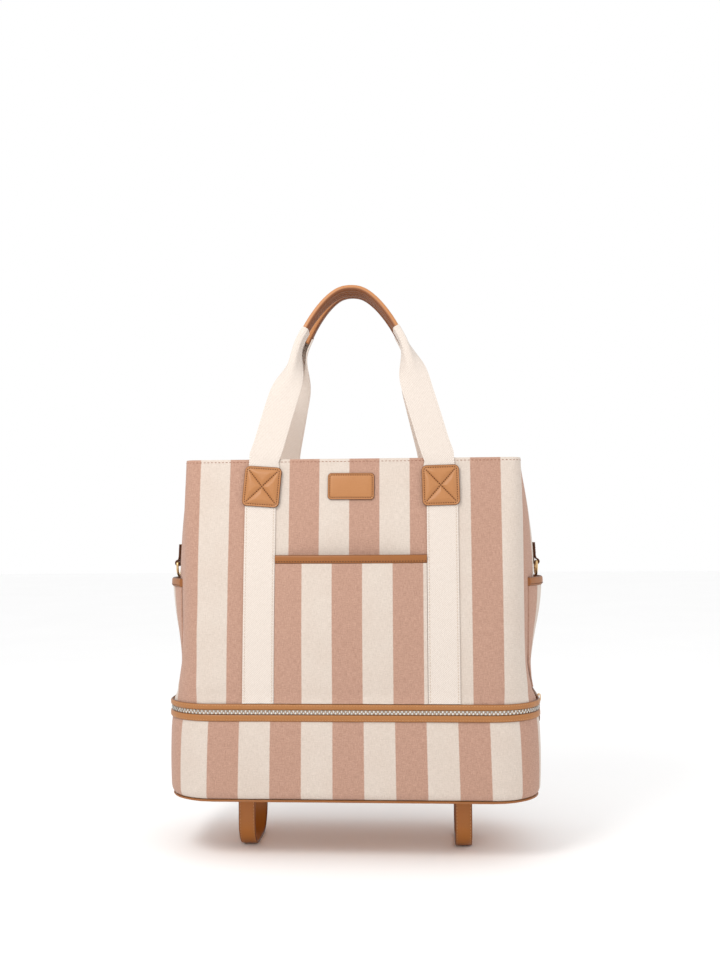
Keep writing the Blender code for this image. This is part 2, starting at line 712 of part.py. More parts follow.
def handle_line(side):
    """A handle's middle line in (x, z), from the left foot over the grip to the right foot."""
    left = [(-x, z) for x, z in LEG_LINE[side] + GRIP_LINE]
    return left + [(-x, z) for x, z in reversed(left[:-1])]


def handle_section(side, line, i, outline, slip=0.0):
    """An outline set square across the line at one of its points. A slip moves it along the line."""
    before, after = line[max(i - 1, 0)], line[min(i + 1, len(line) - 1)]
    along = Vector((after[0] - before[0], after[1] - before[1])).normalized()
    x, z = line[i][0] + along.x * slip, line[i][1] + along.y * slip
    section = []
    for out, across in outline:
        section.append(handle_point(side, x - along.y * out, z + along.x * out, across))
    return section


def build_handle(side, word, finish, body):
    """Two webbing legs and the leather grip that joins them."""
    line = handle_line(side)
    grip_start = len(LEG_LINE[side])
    grip_end = len(line) - 1 - grip_start
    for hand, leg_word in ((LEFT, "left"), (RIGHT, "right")):
        sections = []
        for k, (half_width, half_thick) in enumerate(LEG_SECTIONS):
            outline = ((-half_width, -half_thick), (half_width, -half_thick),
                       (half_width, half_thick), (-half_width, half_thick))
            i = k if hand == LEFT else len(line) - 1 - k
            slip = hand * GAP if k == grip_start else 0.0
            sections.append(handle_section(side, line, i, outline, slip))
        name = f"{word}_handle_leg_{leg_word}"
        add_object(name, loft(name, sections), finish["webbing"], body)
    outline = rounded_rectangle(2 * GRIP_HALF_THICK, 2 * GRIP_HALF_WIDTH, GRIP_RADIUS, 2)
    sections = [handle_section(side, line, i, outline) for i in range(grip_start, grip_end + 1)]
    name = f"{word}_grip"
    add_object(name, loft(name, sections, smooth=True), finish["leather"], body)


# ---------------------------------------------------------------- assembly
def main():
    for obj in list(bpy.data.objects):
        bpy.data.objects.remove(obj)
    finish = {
        "canvas": material("striped_canvas", (214, 175, 153), 0.9),
        "webbing": material("cotton_webbing", (245, 232, 220), 0.85),
        "leather": material("tan_leather", (190, 131, 83), 0.5),
        "lining": material("lining", (232, 219, 205), 0.9),
        "board": material("stiffener_board", (120, 112, 104), 0.8),
        "brass": material("brass", (201, 164, 118), 0.3, 1.0),
    }
    build_base(finish)
    build_lower_wall(finish)

    hinge_y = LOWER_HALF_DEPTH + BAND_PROUD + GAP
    upper = add_body("upper_bag", (0.0, hinge_y, ZIP_Z))
    build_upper_shell(finish, upper)
    for side, word in ((FRONT, "front"), (BACK, "back")):
        build_pocket(side, word, finish, upper)
        for hand, leg_word in ((LEFT, "left"), (RIGHT, "right")):
            build_webbing_leg(side, hand, f"{word}_webbing_{leg_word}", finish, upper)
            name = f"{word}_patch_{leg_word}"
            proud = 2 * GAP + WEBBING_THICK
            place = (hand * PATCH_X[side], PATCH_Z)
            patch = panel_patch(name, *place, PATCH_SIZE, PATCH_RADIUS, proud, LEATHER, side)
            add_object(name, patch, finish["leather"], upper)
        handle = add_body(f"{word}_handle", (0.0, side * HANDLE_PIVOT[0], HANDLE_PIVOT[1]))
        build_handle(side, word, finish, handle)
        flap = add_body(f"top_flap_{word}", (0.0, side * FLAP_HINGE_Y, FLAP_Z))
        build_flap(side, word, finish, flap)
    label = panel_patch("label", 0.0, LABEL_Z, LABEL_SIZE, LABEL_RADIUS, GAP, LEATHER, FRONT)
    add_object("label", label, finish["leather"], upper)

    for hand, word in ((LEFT, "left"), (RIGHT, "right")):
        build_mat_strap(hand, word, finish)
        build_side_pocket(hand, word, finish, upper)
        build_end_tab(hand, word, finish, upper)
        ring = add_body(f"ring_{word}_pivot", (hand * ring_x(), 0.0, RING_Z))
        build_ring(hand, word, finish, upper, ring)

    height = SLIDER_THICK + BAIL_HEIGHT
    top_plane = FLAP_Z + CHAIN_RISE + GAP
    top_slider = add_body("top_slider_body", (TOP_SLIDER_X, 0.0, top_plane))
    top_pull = add_body("top_pull_body", (TOP_SLIDER_X, 0.0, top_plane + height))
    build_slider("top", lambda along, down, up: (TOP_SLIDER_X + along, -down, top_plane + up),
                 finish, top_slider, top_pull)
    side_plane = LOWER_HALF_WIDTH + BAND_PROUD + GAP
    low_slider = add_body("low_slider_body", (side_plane, LOWER_SLIDER_Y, ZIP_Z))
    low_pull = add_body("low_pull_body", (side_plane + height, LOWER_SLIDER_Y, ZIP_Z))
    build_slider("low", lambda along, down, up: (side_plane + up, LOWER_SLIDER_Y + along, ZIP_Z - down),
                 finish, low_slider, low_pull)


main()
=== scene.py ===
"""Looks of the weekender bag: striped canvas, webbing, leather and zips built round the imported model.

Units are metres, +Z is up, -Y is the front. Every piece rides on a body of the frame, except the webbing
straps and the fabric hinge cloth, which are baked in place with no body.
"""

import math
from functools import lru_cache

import bpy
import numpy as np
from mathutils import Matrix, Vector, noise


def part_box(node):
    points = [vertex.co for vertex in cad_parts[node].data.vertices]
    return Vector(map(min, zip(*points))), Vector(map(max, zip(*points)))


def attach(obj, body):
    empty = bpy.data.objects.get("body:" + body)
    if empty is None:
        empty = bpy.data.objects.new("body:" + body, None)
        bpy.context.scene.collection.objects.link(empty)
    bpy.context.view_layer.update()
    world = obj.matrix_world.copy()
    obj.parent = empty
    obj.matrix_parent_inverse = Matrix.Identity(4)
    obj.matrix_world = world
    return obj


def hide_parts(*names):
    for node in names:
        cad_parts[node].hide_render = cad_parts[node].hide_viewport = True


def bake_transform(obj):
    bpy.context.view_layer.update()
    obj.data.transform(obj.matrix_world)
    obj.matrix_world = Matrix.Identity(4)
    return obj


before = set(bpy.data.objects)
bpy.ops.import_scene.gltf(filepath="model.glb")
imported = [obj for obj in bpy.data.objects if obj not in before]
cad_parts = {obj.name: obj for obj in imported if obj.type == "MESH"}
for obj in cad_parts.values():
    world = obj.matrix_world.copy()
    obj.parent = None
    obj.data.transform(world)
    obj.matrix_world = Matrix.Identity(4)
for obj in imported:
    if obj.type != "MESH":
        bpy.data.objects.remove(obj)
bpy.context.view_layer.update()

# ---- driving dimensions
GAP = 0.0003
CANVAS = 0.0030              # canvas wall with its foam backing
WEBBING_HALF = 0.0190
WEBBING_THICK = 0.0020
LEATHER = 0.0022
BAND_PROUD = 0.0023
BAND_CROWN = 0.0009
GUSSET_BULGE = 0.0158
GUSSET_FROM = 0.1965         # the height where the gussets start to bulge
POCKET_BULGE = 0.0095
SIDE_POCKET_BULGE = 0.0085
PUFF = 0.0019                # how far the filled canvas swells between its seams
PUCKER = 0.0013              # gathers where the canvas is sewn to the zip
POCKET_CLOTH = 0.0018
BINDING_HALF = 0.0016
BINDING_LIFT = 0.0012
SEWN_ABOVE = 0.0078          # from the canvas's lower edge to the lower ends of webbing and pockets
BINDING_CROWN = 0.0007
SEAM = 0.0012
WAIST = 0.0018               # the wall draws in a little where it is sewn to the zip
LOWER_SWELL = 0.0012         # how far the shoe compartment's wall bulges, and how uneven it is
LOWER_LUMPS = 0.0009
TUCK = 0.0050                # how far the wall turns in above the base panel
TUCK_HEIGHT = 0.0100
HEM_REACH = 0.0110           # from the shoe compartment's outer face to its lining's edge on the board
HEM_THICK = 0.0008

UPPER_STRIPES = (0.0370, -0.0022)    # stripe width, left edge of the pink stripe nearest the middle
LOWER_STRIPES = (0.0376, -0.0221)
STRIPE_FLARE = 0.0036        # how far the shoe compartment's stripes spread towards the base
POCKET_STRIPES = (0.0366, -0.0222)
SIDE_STRIPES = (0.0363, -0.0620)
POUCH_STRIPES = (0.0363, -0.0663)

MAT_STRAP_BEND = 0.0340
MAT_STRAP_CORNER = 0.0040
TOOTH_PITCH = 0.0024
SEWING = {                   # pitch, thread radius, and how much of the pitch lies on top
    "facing": (0.0034, 0.00026, 0.68),
    "mat_strap": (0.0042, 0.00028, 0.68),
    "webbing": (0.0038, 0.00042, 0.68),
    "patch": (0.0029, 0.00058, 0.60),
    "pocket": (0.0034, 0.00050, 0.68),
    "ring_tab": (0.0030, 0.00030, 0.68),
    "pull": (0.0026, 0.00022, 0.68),
    "top_panel": (0.0044, 0.00042, 0.68),
    "rim": (0.0046, 0.00034, 0.68),
}
FRONT, BACK = -1, 1
LEFT, RIGHT = -1, 1
SIDES = ((FRONT, "front"), (BACK, "back"))
HANDS = ((LEFT, "left"), (RIGHT, "right"))


# ---- sizes read from the frame
def measured_levels(node):
    """Height, half width, half depth and corner radius wherever the CAD panel has points."""
    rows = {}
    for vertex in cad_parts[node].data.vertices:
        rows.setdefault(round(vertex.co.z, 4), []).append(vertex.co)
    levels = []
    for z in sorted(rows):
        wide = max(abs(p.x) for p in rows[z])
        deep = max(abs(p.y) for p in rows[z])
        levels.append((z, wide, deep, deep - min(abs(p.y) for p in rows[z])))
    return np.array(levels)


LEVELS = measured_levels("front_panel")
LOWER_LEVEL = (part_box("lower_wall")[1].x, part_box("lower_wall")[1].y, 0.060)
ZIP_LEVEL = tuple(size - WAIST for size in LOWER_LEVEL)
LOWER_BOTTOM, LOWER_TOP = (corner.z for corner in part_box("lower_wall"))
UPPER_BOTTOM, RIM_Z = LEVELS[0][0], LEVELS[-1][0]
ZIP_Z = (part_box("lower_zip_row")[1].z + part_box("upper_zip_row")[0].z) / 2
FLAP_Z = sum(corner.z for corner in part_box("top_facing_front")) / 2
EASE = 0.0045


@lru_cache(maxsize=None)
def level_at(z):
    """Half width, half depth and corner radius of the upper bag at a height, its creases eased."""
    near = z + np.linspace(-EASE, EASE, 7)
    return tuple(float(np.interp(near, LEVELS[:, 0], LEVELS[:, k]).mean()) for k in (1, 2, 3))


def waist(z):
    """How far a wall is drawn in at a height, most of all at the zip."""
    return WAIST * dent(z - ZIP_Z, 0.016)


def smoothstep(value):
    share = min(1.0, max(0.0, value))
    return share * share * (3 - 2 * share)


def dent(distance, width):
    """1 on a line, falling to 0 at a few widths from it."""
    return math.exp(-(distance / width) ** 2)


# ---- meshes
def add_piece(name, points, faces, look, body=None, nodes=(), uv=None, edge=None, crease=40):
    """A piece from world points, riding on a body in the place of CAD nodes.

    uv holds one pair for each face corner, edge one number for each point.
    """
    mesh = bpy.data.meshes.new(name)
    mesh.from_pydata([tuple(p) for p in points], [], faces)
    if uv is not None:
        layer = mesh.uv_layers.new(name="UVMap")
        layer.data.foreach_set("uv", np.asarray(uv, np.float32).ravel())
    if edge is not None:
        worn = mesh.attributes.new("edge", "FLOAT", "POINT")
        worn.data.foreach_set("value", np.asarray(edge, np.float32).ravel())
    mesh.materials.append(FINISH[look])
    mesh.shade_smooth()
    mesh.set_sharp_from_angle(angle=math.radians(crease))
    obj = bpy.data.objects.new(name, mesh)
    bpy.context.scene.collection.objects.link(obj)
    if nodes:
        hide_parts(*nodes)
    if body:
        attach(obj, body)
    return obj


def add_grid(name, points, look, body=None, nodes=(), closed=True, uv=None, edge=None, turned=False):
    """A piece over rows of points. Each row is a ring; the rows close on the first, or end in caps.

    uv holds two arrays: where each step round a row starts, and where it ends.
    """
    rows, columns = points.shape[:2]
    faces, corners = [], []
    for r in range(rows if closed else rows - 1):
        for c in range(columns):
            low, high = r * columns, (r + 1) % rows * columns
            beside = (c + 1) % columns
            faces.append((low + c, low + beside, high + beside, high + c))
            if uv:
                corners += [uv[0][r, c], uv[1][r, c], uv[1][r + 1, c], uv[0][r + 1, c]]
    ends = () if closed else ((0, 1), (rows - 1, -1))
    for r, order in ends:
        for k in range(columns // 2 - 1):
            ring = (k, columns - 1 - k, columns - 2 - k, k + 1)[::order]
            faces.append(tuple(r * columns + i for i in ring))
            if uv:
                corners += [uv[0][r, i] for i in ring]
    if turned:
        faces = [face[::-1] for face in faces]
    return add_piece(name, points.reshape(-1, 3), faces, look, body, nodes, corners if uv else None, edge)


def distances_along(points):
    """How far along a line each of its points is."""
    return np.concatenate([[0.0], np.cumsum(np.linalg.norm(np.diff(points, axis=0), axis=1))])


def strip_uv(across, along):
    """Both ends of each step round a strap's cut end, at each distance along it."""
    start = np.array([[(w, v) for w in across] for v in along])
    return start, np.roll(start, -1, axis=1)


def strap_section(half_width, half_thick, across=9, crown=0.0):
    """Round a strap's cut end: (place across its width, height off its middle), with soft edges."""
    outer = []
    bend = min(half_thick, half_width)
    for i in range(across):
        w = (half_width - bend) * (2 * i / (across - 1) - 1)
        outer.append((w, half_thick + crown * (1 - (w / half_width) ** 2)))
    corner = [(half_width - bend + bend * math.sin(a), half_thick * math.cos(a))
              for a in (math.pi / 5, math.pi * 2 / 5)]
    outer = [(-w, t) for w, t in reversed(corner)] + outer + corner
    return outer + [(w, -min(t, half_thick)) for w, t in reversed(outer)]


def round_section(radius, count=12):
    turns = [2 * math.pi * i / count for i in range(count)]
    return [(radius * math.cos(a), radius * math.sin(a)) for a in turns]


def ribbon(name, line, section, look, body=None, nodes=(), closed=False):
    """A strap along a line of (middle, direction across, outward direction)."""
    middles, acrosses, outs = (np.array([step[k] for step in line], float) for k in range(3))
    shape = np.array(section)
    points = middles[:, None] + shape[:, :1] * acrosses[:, None] + shape[:, 1:] * outs[:, None]
    widths = shape[:, 0]
    half = abs(widths).max()
    edge = np.tile([smoothstep((abs(w) / half - 0.86) / 0.1) for w in widths], len(line))
    uv = strip_uv(widths, distances_along(np.vstack([middles, middles[:1]])))
    return add_grid(name, points, look, body, nodes, closed, uv, edge)


def stitches(name, runs, look, body, sewing):
    """Sewn thread: short rounded stitches along lines of (point, outward direction)."""
    pitch, radius, share = SEWING[sewing]
    points, faces = [], []
    rings = ((0.0, 0.45, -0.5), (0.2, 1.0, 0.3), (0.8, 1.0, 0.3), (1.0, 0.45, -0.5))
    for run in runs:
        places = np.array([p for p, _ in run], float)
        outs = np.array([n for _, n in run], float)
        along = distances_along(places)
        count = max(1, round(along[-1] / pitch))
        for i in range(count):
            middle = (i + 0.5) * along[-1] / count
            ends = middle - pitch * share / 2, middle + pitch * share / 2
            a, b = (Vector(np.interp(s, along, places[:, k]) for k in range(3)) for s in ends)
            out = Vector(np.interp(middle, along, outs[:, k]) for k in range(3)).normalized()
            side = (b - a).cross(out).normalized()
            first = len(points)
            for place, size, lift in rings:
                centre = a.lerp(b, place) + out * radius * lift
                points += [centre + side * w + out * t * 0.8 for w, t in round_section(radius * size, 6)]
            for low in range(first, first + 18, 6):
                faces += [(low + k, low + 6 + k, low + 6 + (k + 1) % 6, low + (k + 1) % 6) for k in range(6)]
            faces.append(tuple(range(first, first + 6)))
            faces.append(tuple(range(first + 23, first + 17, -1)))
    add_piece(name, points, faces, look, body)


# ---- materials
def linear(channel):
    value = channel / 255
    return value / 12.92 if value <= 0.04045 else ((value + 0.055) / 1.055) ** 2.4


def colour(red, green, blue):
    """An sRGB colour from 0 to 255 as a shader takes it."""
    return (linear(red), linear(green), linear(blue), 1.0)


class Paint:
    """A material whose node graph is built one node at a time."""

    def __init__(self, name, roughness=0.6, metallic=0.0, sheen=0.0, specular=0.5, coat=0.0):
        self.material = bpy.data.materials.new(name)
        self.material.use_nodes = True
        self.tree = self.material.node_tree
        self.shader = self.tree.nodes["Principled BSDF"]
        for socket, value in (("Roughness", roughness), ("Metallic", metallic), ("Sheen Weight", sheen),
                              ("Specular IOR Level", specular), ("Coat Weight", coat)):
            self.shader.inputs[socket].default_value = value

    def add(self, kind, inputs=(), **settings):
        node = self.tree.nodes.new(kind)
        for key, value in settings.items():
            setattr(node, key, value)
        for socket, value in dict(inputs).items():
            if isinstance(value, bpy.types.NodeSocket):
                self.tree.links.new(value, node.inputs[socket])
            else:
                node.inputs[socket].default_value = value
        return node

    def math(self, operation, a, b=0.0):
        return self.add("ShaderNodeMath", {0: a, 1: b}, operation=operation).outputs[0]

    def plus(self, a, b):
        return self.math("ADD", a, b)

    def times(self, a, b):
        return self.math("MULTIPLY", a, b)

    def wave(self, value, pace):
        """A sine that turns by pace radians for each unit of the value."""
        return self.math("SINE", self.times(value, pace))

    def uv(self):
        place = self.add("ShaderNodeUVMap", uv_map="UVMap").outputs[0]
        parts = self.add("ShaderNodeSeparateXYZ", {0: place})
        return place, parts.outputs[0], parts.outputs[1]

    def scaled(self, place, x, y):
        return self.add("ShaderNodeVectorMath", {0: place, 1: (x, y, 1.0)}, operation="MULTIPLY").outputs[0]

    def body_place(self):
        return self.add("ShaderNodeTexCoord").outputs["Object"]

    def noise(self, place, scale, detail=2.0):
        inputs = {"Vector": place, "Scale": scale, "Detail": detail}
        return self.add("ShaderNodeTexNoise", inputs).outputs[0]

    def ramp(self, value, low, high):
        """The value between two limits as 0 to 1."""
        return self.add("ShaderNodeMapRange", {0: value, 1: low, 2: high}).outputs[0]

    def mix(self, factor, a, b):
        node = self.add("ShaderNodeMix", data_type="RGBA")
        for index, value in ((0, factor), (6, a), (7, b)):
            if isinstance(value, bpy.types.NodeSocket):
                self.tree.links.new(value, node.inputs[index])
            else:
                node.inputs[index].default_value = value
        return node.outputs[2]

    def blend(self, factor, a, b):
        """One number for another, as a factor says."""
        return self.plus(a, self.times(self.math("SUBTRACT", b, a), factor))

    def set(self, socket, value):
        self.tree.links.new(value, self.shader.inputs[socket])

    def bump(self, height, strength, distance):
        inputs = {"Strength": strength, "Distance": distance, "Height": height}
        self.set("Normal", self.add("ShaderNodeBump", inputs).outputs[0])


def canvas():
    """Woven stripes. U counts stripes, so a pink stripe lies from each even number to the next."""
    paint = Paint("striped_canvas", roughness=0.92, sheen=0.12, specular=0.2)
    place, u, v = paint.uv()
    waver = paint.noise(paint.scaled(place, 2.0, 9.0), 1.0, 3.0)
    shifted = paint.plus(u, paint.times(paint.math("SUBTRACT", waver, 0.5), 0.022))
    pink = paint.ramp(paint.wave(shifted, math.pi), -0.035, 0.035)
    warp = paint.noise(paint.scaled(place, 46.0, 5.0), 1.0)
    weft = paint.noise(paint.scaled(place, 6.0, 44.0), 1.0)
    speck = paint.noise(paint.scaled(place, 26.0, 26.0), 1.0, 3.0)
    threads = paint.times(paint.plus(paint.plus(warp, weft), speck), 1 / 3)
    tone = paint.ramp(threads, 0.36, 0.64)
    pinks = paint.mix(tone, PINK_DARK, PINK_LIGHT)
    creams = paint.mix(tone, CREAM_DARK, CREAM_LIGHT)
    cloth = paint.mix(pink, creams, pinks)
    soil = paint.ramp(paint.noise(paint.scaled(place, 0.9, 0.7), 1.0), 0.35, 0.75)
    paint.set("Base Color", paint.mix(paint.times(soil, 0.10), cloth, SOIL))
    weave = paint.times(paint.wave(u, 44 * math.pi), paint.wave(v, 44 * math.pi))
    paint.bump(paint.plus(paint.times(weave, 0.35), threads), 0.45, 0.0006)
    return paint.material


def webbing():
    """Cotton webbing: a fine diagonal twill between two corded edges. U is metres across it."""
    paint = Paint("cotton_webbing", roughness=0.9, sheen=0.12, specular=0.2)
    place, u, v = paint.uv()
    from_middle = paint.math("ABSOLUTE", u)
    twill = paint.wave(paint.plus(u, paint.times(v, 0.8)), 2 * math.pi / 0.0021)
    ribs = paint.wave(v, 2 * math.pi / 0.0020)
    height = paint.blend(paint.ramp(from_middle, 0.0166, 0.0174), twill, ribs)
    fleck = paint.noise(paint.scaled(place, 900.0, 260.0), 1.0, 3.0)
    shade = paint.ramp(paint.plus(paint.times(height, 0.5), fleck), -0.2, 1.0)
    broad = paint.noise(paint.scaled(place, 30.0, 14.0), 1.0)
    yarn = paint.mix(shade, WEBBING_DARK, WEBBING_LIGHT)
    paint.set("Base Color", paint.mix(paint.times(broad, 0.08), yarn, WEBBING_WORN))
    from_cord = paint.math("ABSOLUTE", paint.math("SUBTRACT", from_middle, 0.0166))
    paint.bump(paint.plus(paint.times(height, 0.5), paint.ramp(from_cord, 0.0, 0.0005)), 0.5, 0.0005)
    return paint.material


def leather(name, light, dark, edge_and_shade_tone):
    """Full grain: pebbles, a mottled tone and painted edges where the piece has an edge value, which on the
    grip also paints shade along its underside.
    """
    paint = Paint(name, specular=0.45, coat=0.06)
    paint.shader.inputs["Coat Roughness"].default_value = 0.35
    place = paint.body_place()
    mottle = paint.ramp(paint.noise(place, 70.0, 4.0), 0.35, 0.68)
    pebble = paint.add("ShaderNodeTexVoronoi", {"Vector": place, "Scale": 1150.0}).outputs["Distance"]
    fine = paint.noise(place, 1600.0, 3.0)
    tone = paint.mix(mottle, dark, light)
    creased = paint.mix(paint.ramp(pebble, 0.0, 0.45), tone, light)
    rubbed = paint.mix(paint.times(fine, 0.3), creased, dark)
    edge = paint.add("ShaderNodeAttribute", attribute_name="edge").outputs["Fac"]
    # the edge value gives painted edges, and painted shade on the grip's underside
    paint.set("Base Color", paint.mix(edge, rubbed, edge_and_shade_tone))
    paint.set("Roughness", paint.plus(paint.times(mottle, -0.10), 0.52))
    paint.bump(paint.plus(paint.times(pebble, -0.6), paint.times(fine, 0.3)), 0.14, 0.0003)
    return paint.material


def thread(name, light, dark):
    paint = Paint(name, roughness=0.7, sheen=0.1, specular=0.3)
    place = paint.body_place()
    twist = paint.noise(place, 1500.0)
    paint.set("Base Color", paint.mix(twist, dark, light))
    paint.bump(twist, 0.4, 0.0003)
    return paint.material


def woven_tape(name, light, dark, scale):
    """A close plain weave, for zip tape, lining and the stiffener board's cover."""
    paint = Paint(name, roughness=0.9, sheen=0.1, specular=0.2)
    place = paint.body_place()
    parts = paint.add("ShaderNodeSeparateXYZ", {0: place})
    waves = [paint.wave(parts.outputs[k], scale * math.pi) for k in range(3)]
    weave = paint.plus(paint.plus(waves[0], waves[1]), waves[2])
    cloudy = paint.noise(place, 90.0, 3.0)
    tone = paint.ramp(paint.plus(paint.times(weave, 0.10), cloudy), -0.2, 1.2)
    paint.set("Base Color", paint.mix(tone, dark, light))
    paint.bump(weave, 0.3, 0.0003)
    return paint.material


def metal(name, light, dark, roughness):
    paint = Paint(name, roughness, metallic=1.0)
    place = paint.body_place()
    scuff = paint.noise(place, 260.0, 4.0)
    paint.set("Base Color", paint.mix(paint.ramp(scuff, 0.3, 0.7), dark, light))
    paint.set("Roughness", paint.plus(paint.times(scuff, 0.16), roughness - 0.06))
    paint.bump(paint.noise(place, 900.0), 0.05, 0.0002)
    return paint.material


PINK_LIGHT, PINK_DARK = colour(192, 154, 135), colour(160, 123, 106)
CREAM_LIGHT, CREAM_DARK = colour(215, 202, 191), colour(195, 182, 170)
WEBBING_LIGHT, WEBBING_DARK = colour(225, 214, 205), colour(198, 186, 175)
WEBBING_WORN = colour(204, 184, 168)
SOIL = colour(172, 138, 116)
LEATHERS = {                 # light, dark and edge tones; the grip's edge tone also paints the shade under it
    "leather": ("tan_leather", (176, 119, 69), (150, 93, 46), (84, 43, 15)),
    "facing": ("band_leather", (166, 109, 56), (142, 87, 40), (90, 48, 18)),
    "binding": ("tan_binding", (150, 91, 37), (128, 74, 28), (84, 44, 14)),
    "strap": ("strap_leather", (164, 98, 30), (146, 84, 22), (96, 50, 16)),
    "grip": ("grip_leather", (186, 126, 76), (160, 100, 52), (112, 60, 22)),
}
THREADS = {                  # light and dark tones
    "brown_thread": ((108, 64, 34), (78, 44, 22)),
    "tan_thread": ((206, 158, 112), (168, 118, 76)),
    "rim_thread": ((160, 106, 80), (122, 76, 54)),
    "cream_thread": ((214, 197, 180), (186, 168, 150)),
}
FINISH = {
    "canvas": canvas(),
    "webbing": webbing(),
    "tape": woven_tape("zip_tape", colour(214, 186, 160), colour(188, 158, 132), 1400.0),
    "lining": woven_tape("lining_cloth", colour(236, 222, 206), colour(214, 196, 178), 1000.0),
    "board": woven_tape("stiffener_board", colour(206, 190, 172), colour(176, 160, 142), 700.0),
    "silver": metal("zip_metal", (0.80, 0.78, 0.74, 1.0), (0.55, 0.53, 0.50, 1.0), 0.30),
    "gold": metal("gold_metal", (0.83, 0.60, 0.33, 1.0), (0.62, 0.40, 0.18, 1.0), 0.26),
}
for key, (title, *tones) in LEATHERS.items():
    FINISH[key] = leather(title, *(colour(*tone) for tone in tones))
for key, tones in THREADS.items():
    FINISH[key] = thread(key, *(colour(*tone) for tone in tones))
FINISH["hinge"] = FINISH["tape"]


# ---- the bag's outline
CORNERS = {"front_right": (1, -1, -90), "back_right": (1, 1, 0), "back_left": (-1, 1, 90),
           "front_left": (-1, -1, 180)}
MIRRORED = {"front_left": "front_right", "left": "right", "back_left": "back_right"}
ROUND = ("front", "front_right", "right", "back_right", "back", "back_left", "left", "front_left")


def outline_point(level, stretch, share):
    """(x, y), the outward direction, and the distance from the middle of the panel it belongs to."""
    wide, deep, radius = level
    flat_x, flat_y = wide - radius, deep - radius
    if stretch in CORNERS:
        x_sign, y_sign, first = CORNERS[stretch]
        angle = math.radians(first + 90 * share)
        turned = share if stretch in ("front_right", "back_left") else 1 - share
        out = (math.cos(angle), math.sin(angle))
        place = (x_sign * flat_x + radius * out[0], y_sign * flat_y + radius * out[1])
        return place, out, x_sign * (flat_x + radius * turned * math.pi / 2)
    swing = 2 * share - 1
    if stretch in ("front", "back"):
        side = -1 if stretch == "front" else 1
        return (-side * flat_x * swing, side * deep), (0.0, side), -side * flat_x * swing
    hand = 1 if stretch == "right" else -1
    return (hand * wide, hand * flat_y * swing), (hand, 0.0), hand * flat_y * swing


def distance_round(level, stretch, share, before_seam):
    """Distance along the outline from the middle of the front, negative on the left half."""
    wide, deep, radius = level
    flat_x, flat_y, quarter = wide - radius, deep - radius, radius * math.pi / 2
    if stretch == "front":
        return flat_x * (2 * share - 1)
    if stretch == "back":
        reach = 2 * quarter + 2 * flat_y + 2 * flat_x
        return reach - flat_x * (1 - 2 * share) if before_seam else -reach - flat_x * (1 - 2 * share)
    if stretch in MIRRORED:
        return -distance_round(level, MIRRORED[stretch], 1 - share, True)
    first = {"front_right": flat_x, "right": flat_x + quarter, "back_right": flat_x + quarter + 2 * flat_y}
    return first[stretch] + share * (2 * flat_y if stretch == "right" else quarter)


def shares(count, close=()):
    """Even steps from 0 to 1, with extra ones close to both ends."""
    even = [i / count for i in range(count)]
    return sorted(set(even + list(close) + [1 - c for c in close]))


def columns_round(flat, corner, side, close=()):
    """(stretch, start, end) for each step round the outline, counter-clockwise from above."""
    counts = {"front": flat, "back": flat, "left": side, "right": side}
    steps = []
    for stretch in ROUND:
        cuts = shares(counts.get(stretch, corner), close if stretch not in ("front", "back") else ()) + [1.0]
        steps += [(stretch, a, b) for a, b in zip(cuts, cuts[1:])]
    return steps


def puff(along, z, face):
    """How far the canvas swells at a place, fading out at the rim and over the zip."""
    lumps = noise.noise(Vector((along * 11 + z * 5, face * 7.3, z * 8))) * 0.7
    lumps += noise.noise(Vector((along * 26 - z * 14, face * 3.1 + 4, z * 18))) * 0.45
    fade = smoothstep((RIM_Z - 0.006 - z) / 0.030) * smoothstep((z - UPPER_BOTTOM) / 0.030)
    return PUFF * (0.5 + 0.7 * lumps) * fade


def pucker(along, z, face):
    """Small upright gathers just above the zip."""
    gather = noise.noise(Vector((along * 95, face * 2.7, z * 12)))
    return PUCKER * gather * math.exp(-max(0.0, z - UPPER_BOTTOM - 0.010) / 0.013)


def face_y(side, x, z, lift=0.0):
    """Y of the front or back canvas at a place, or a little proud of it."""
    return side * (level_at(z)[1] + puff(x, z, side) + pucker(x, z, side) - waist(z) + lift)


def gusset_x(y, z):
    """How far out a gusset's canvas is."""
    wide, deep, radius = level_at(z)
    across = min(1.0, abs(y) / (deep - radius))
    rise = z - GUSSET_FROM
    up = smoothstep(rise / 0.02) * math.sin(max(0.0, rise / (RIM_Z - GUSSET_FROM)) * math.pi)
    return wide + GUSSET_BULGE * math.cos(across * math.pi / 2) * up


def stripe_u(along, stripes):
    width, start = stripes
    return (along - start) / width


# ---- shells
def shell_rows(bottom, top, dense, outer_count):
    """(height, distance out) round a wall's cut edge: up the outside, over the top, down the inside."""
    low = np.linspace(bottom, bottom + 0.030, dense, endpoint=False)
    rest = np.linspace(bottom + 0.030, top - CANVAS / 2, outer_count)
    rows = [(z, 0.0) for z in np.concatenate([low, rest])]
    for i in range(1, 6):
        angle = math.pi * i / 6
        rows.append((top - CANVAS / 2 * (1 - math.sin(angle)), -CANVAS / 2 * (1 - math.cos(angle))))
    return rows + [(z, -CANVAS) for z in np.linspace(top - CANVAS / 2, bottom, 14)]


def build_shell(name, body, nodes, steps, rows, cell):
    """A canvas wall round the outline. cell gives a point and the stripe coordinates of its step's ends."""
    cells = [[cell(z, offset, *step) for step in steps] for z, offset in rows]
    cells.append(cells[0])
    points, start, end = (np.array([[parts[k] for parts in row] for row in cells]) for k in range(3))
    add_grid(name, points[:-1], "canvas", body, nodes, uv=(start, end))


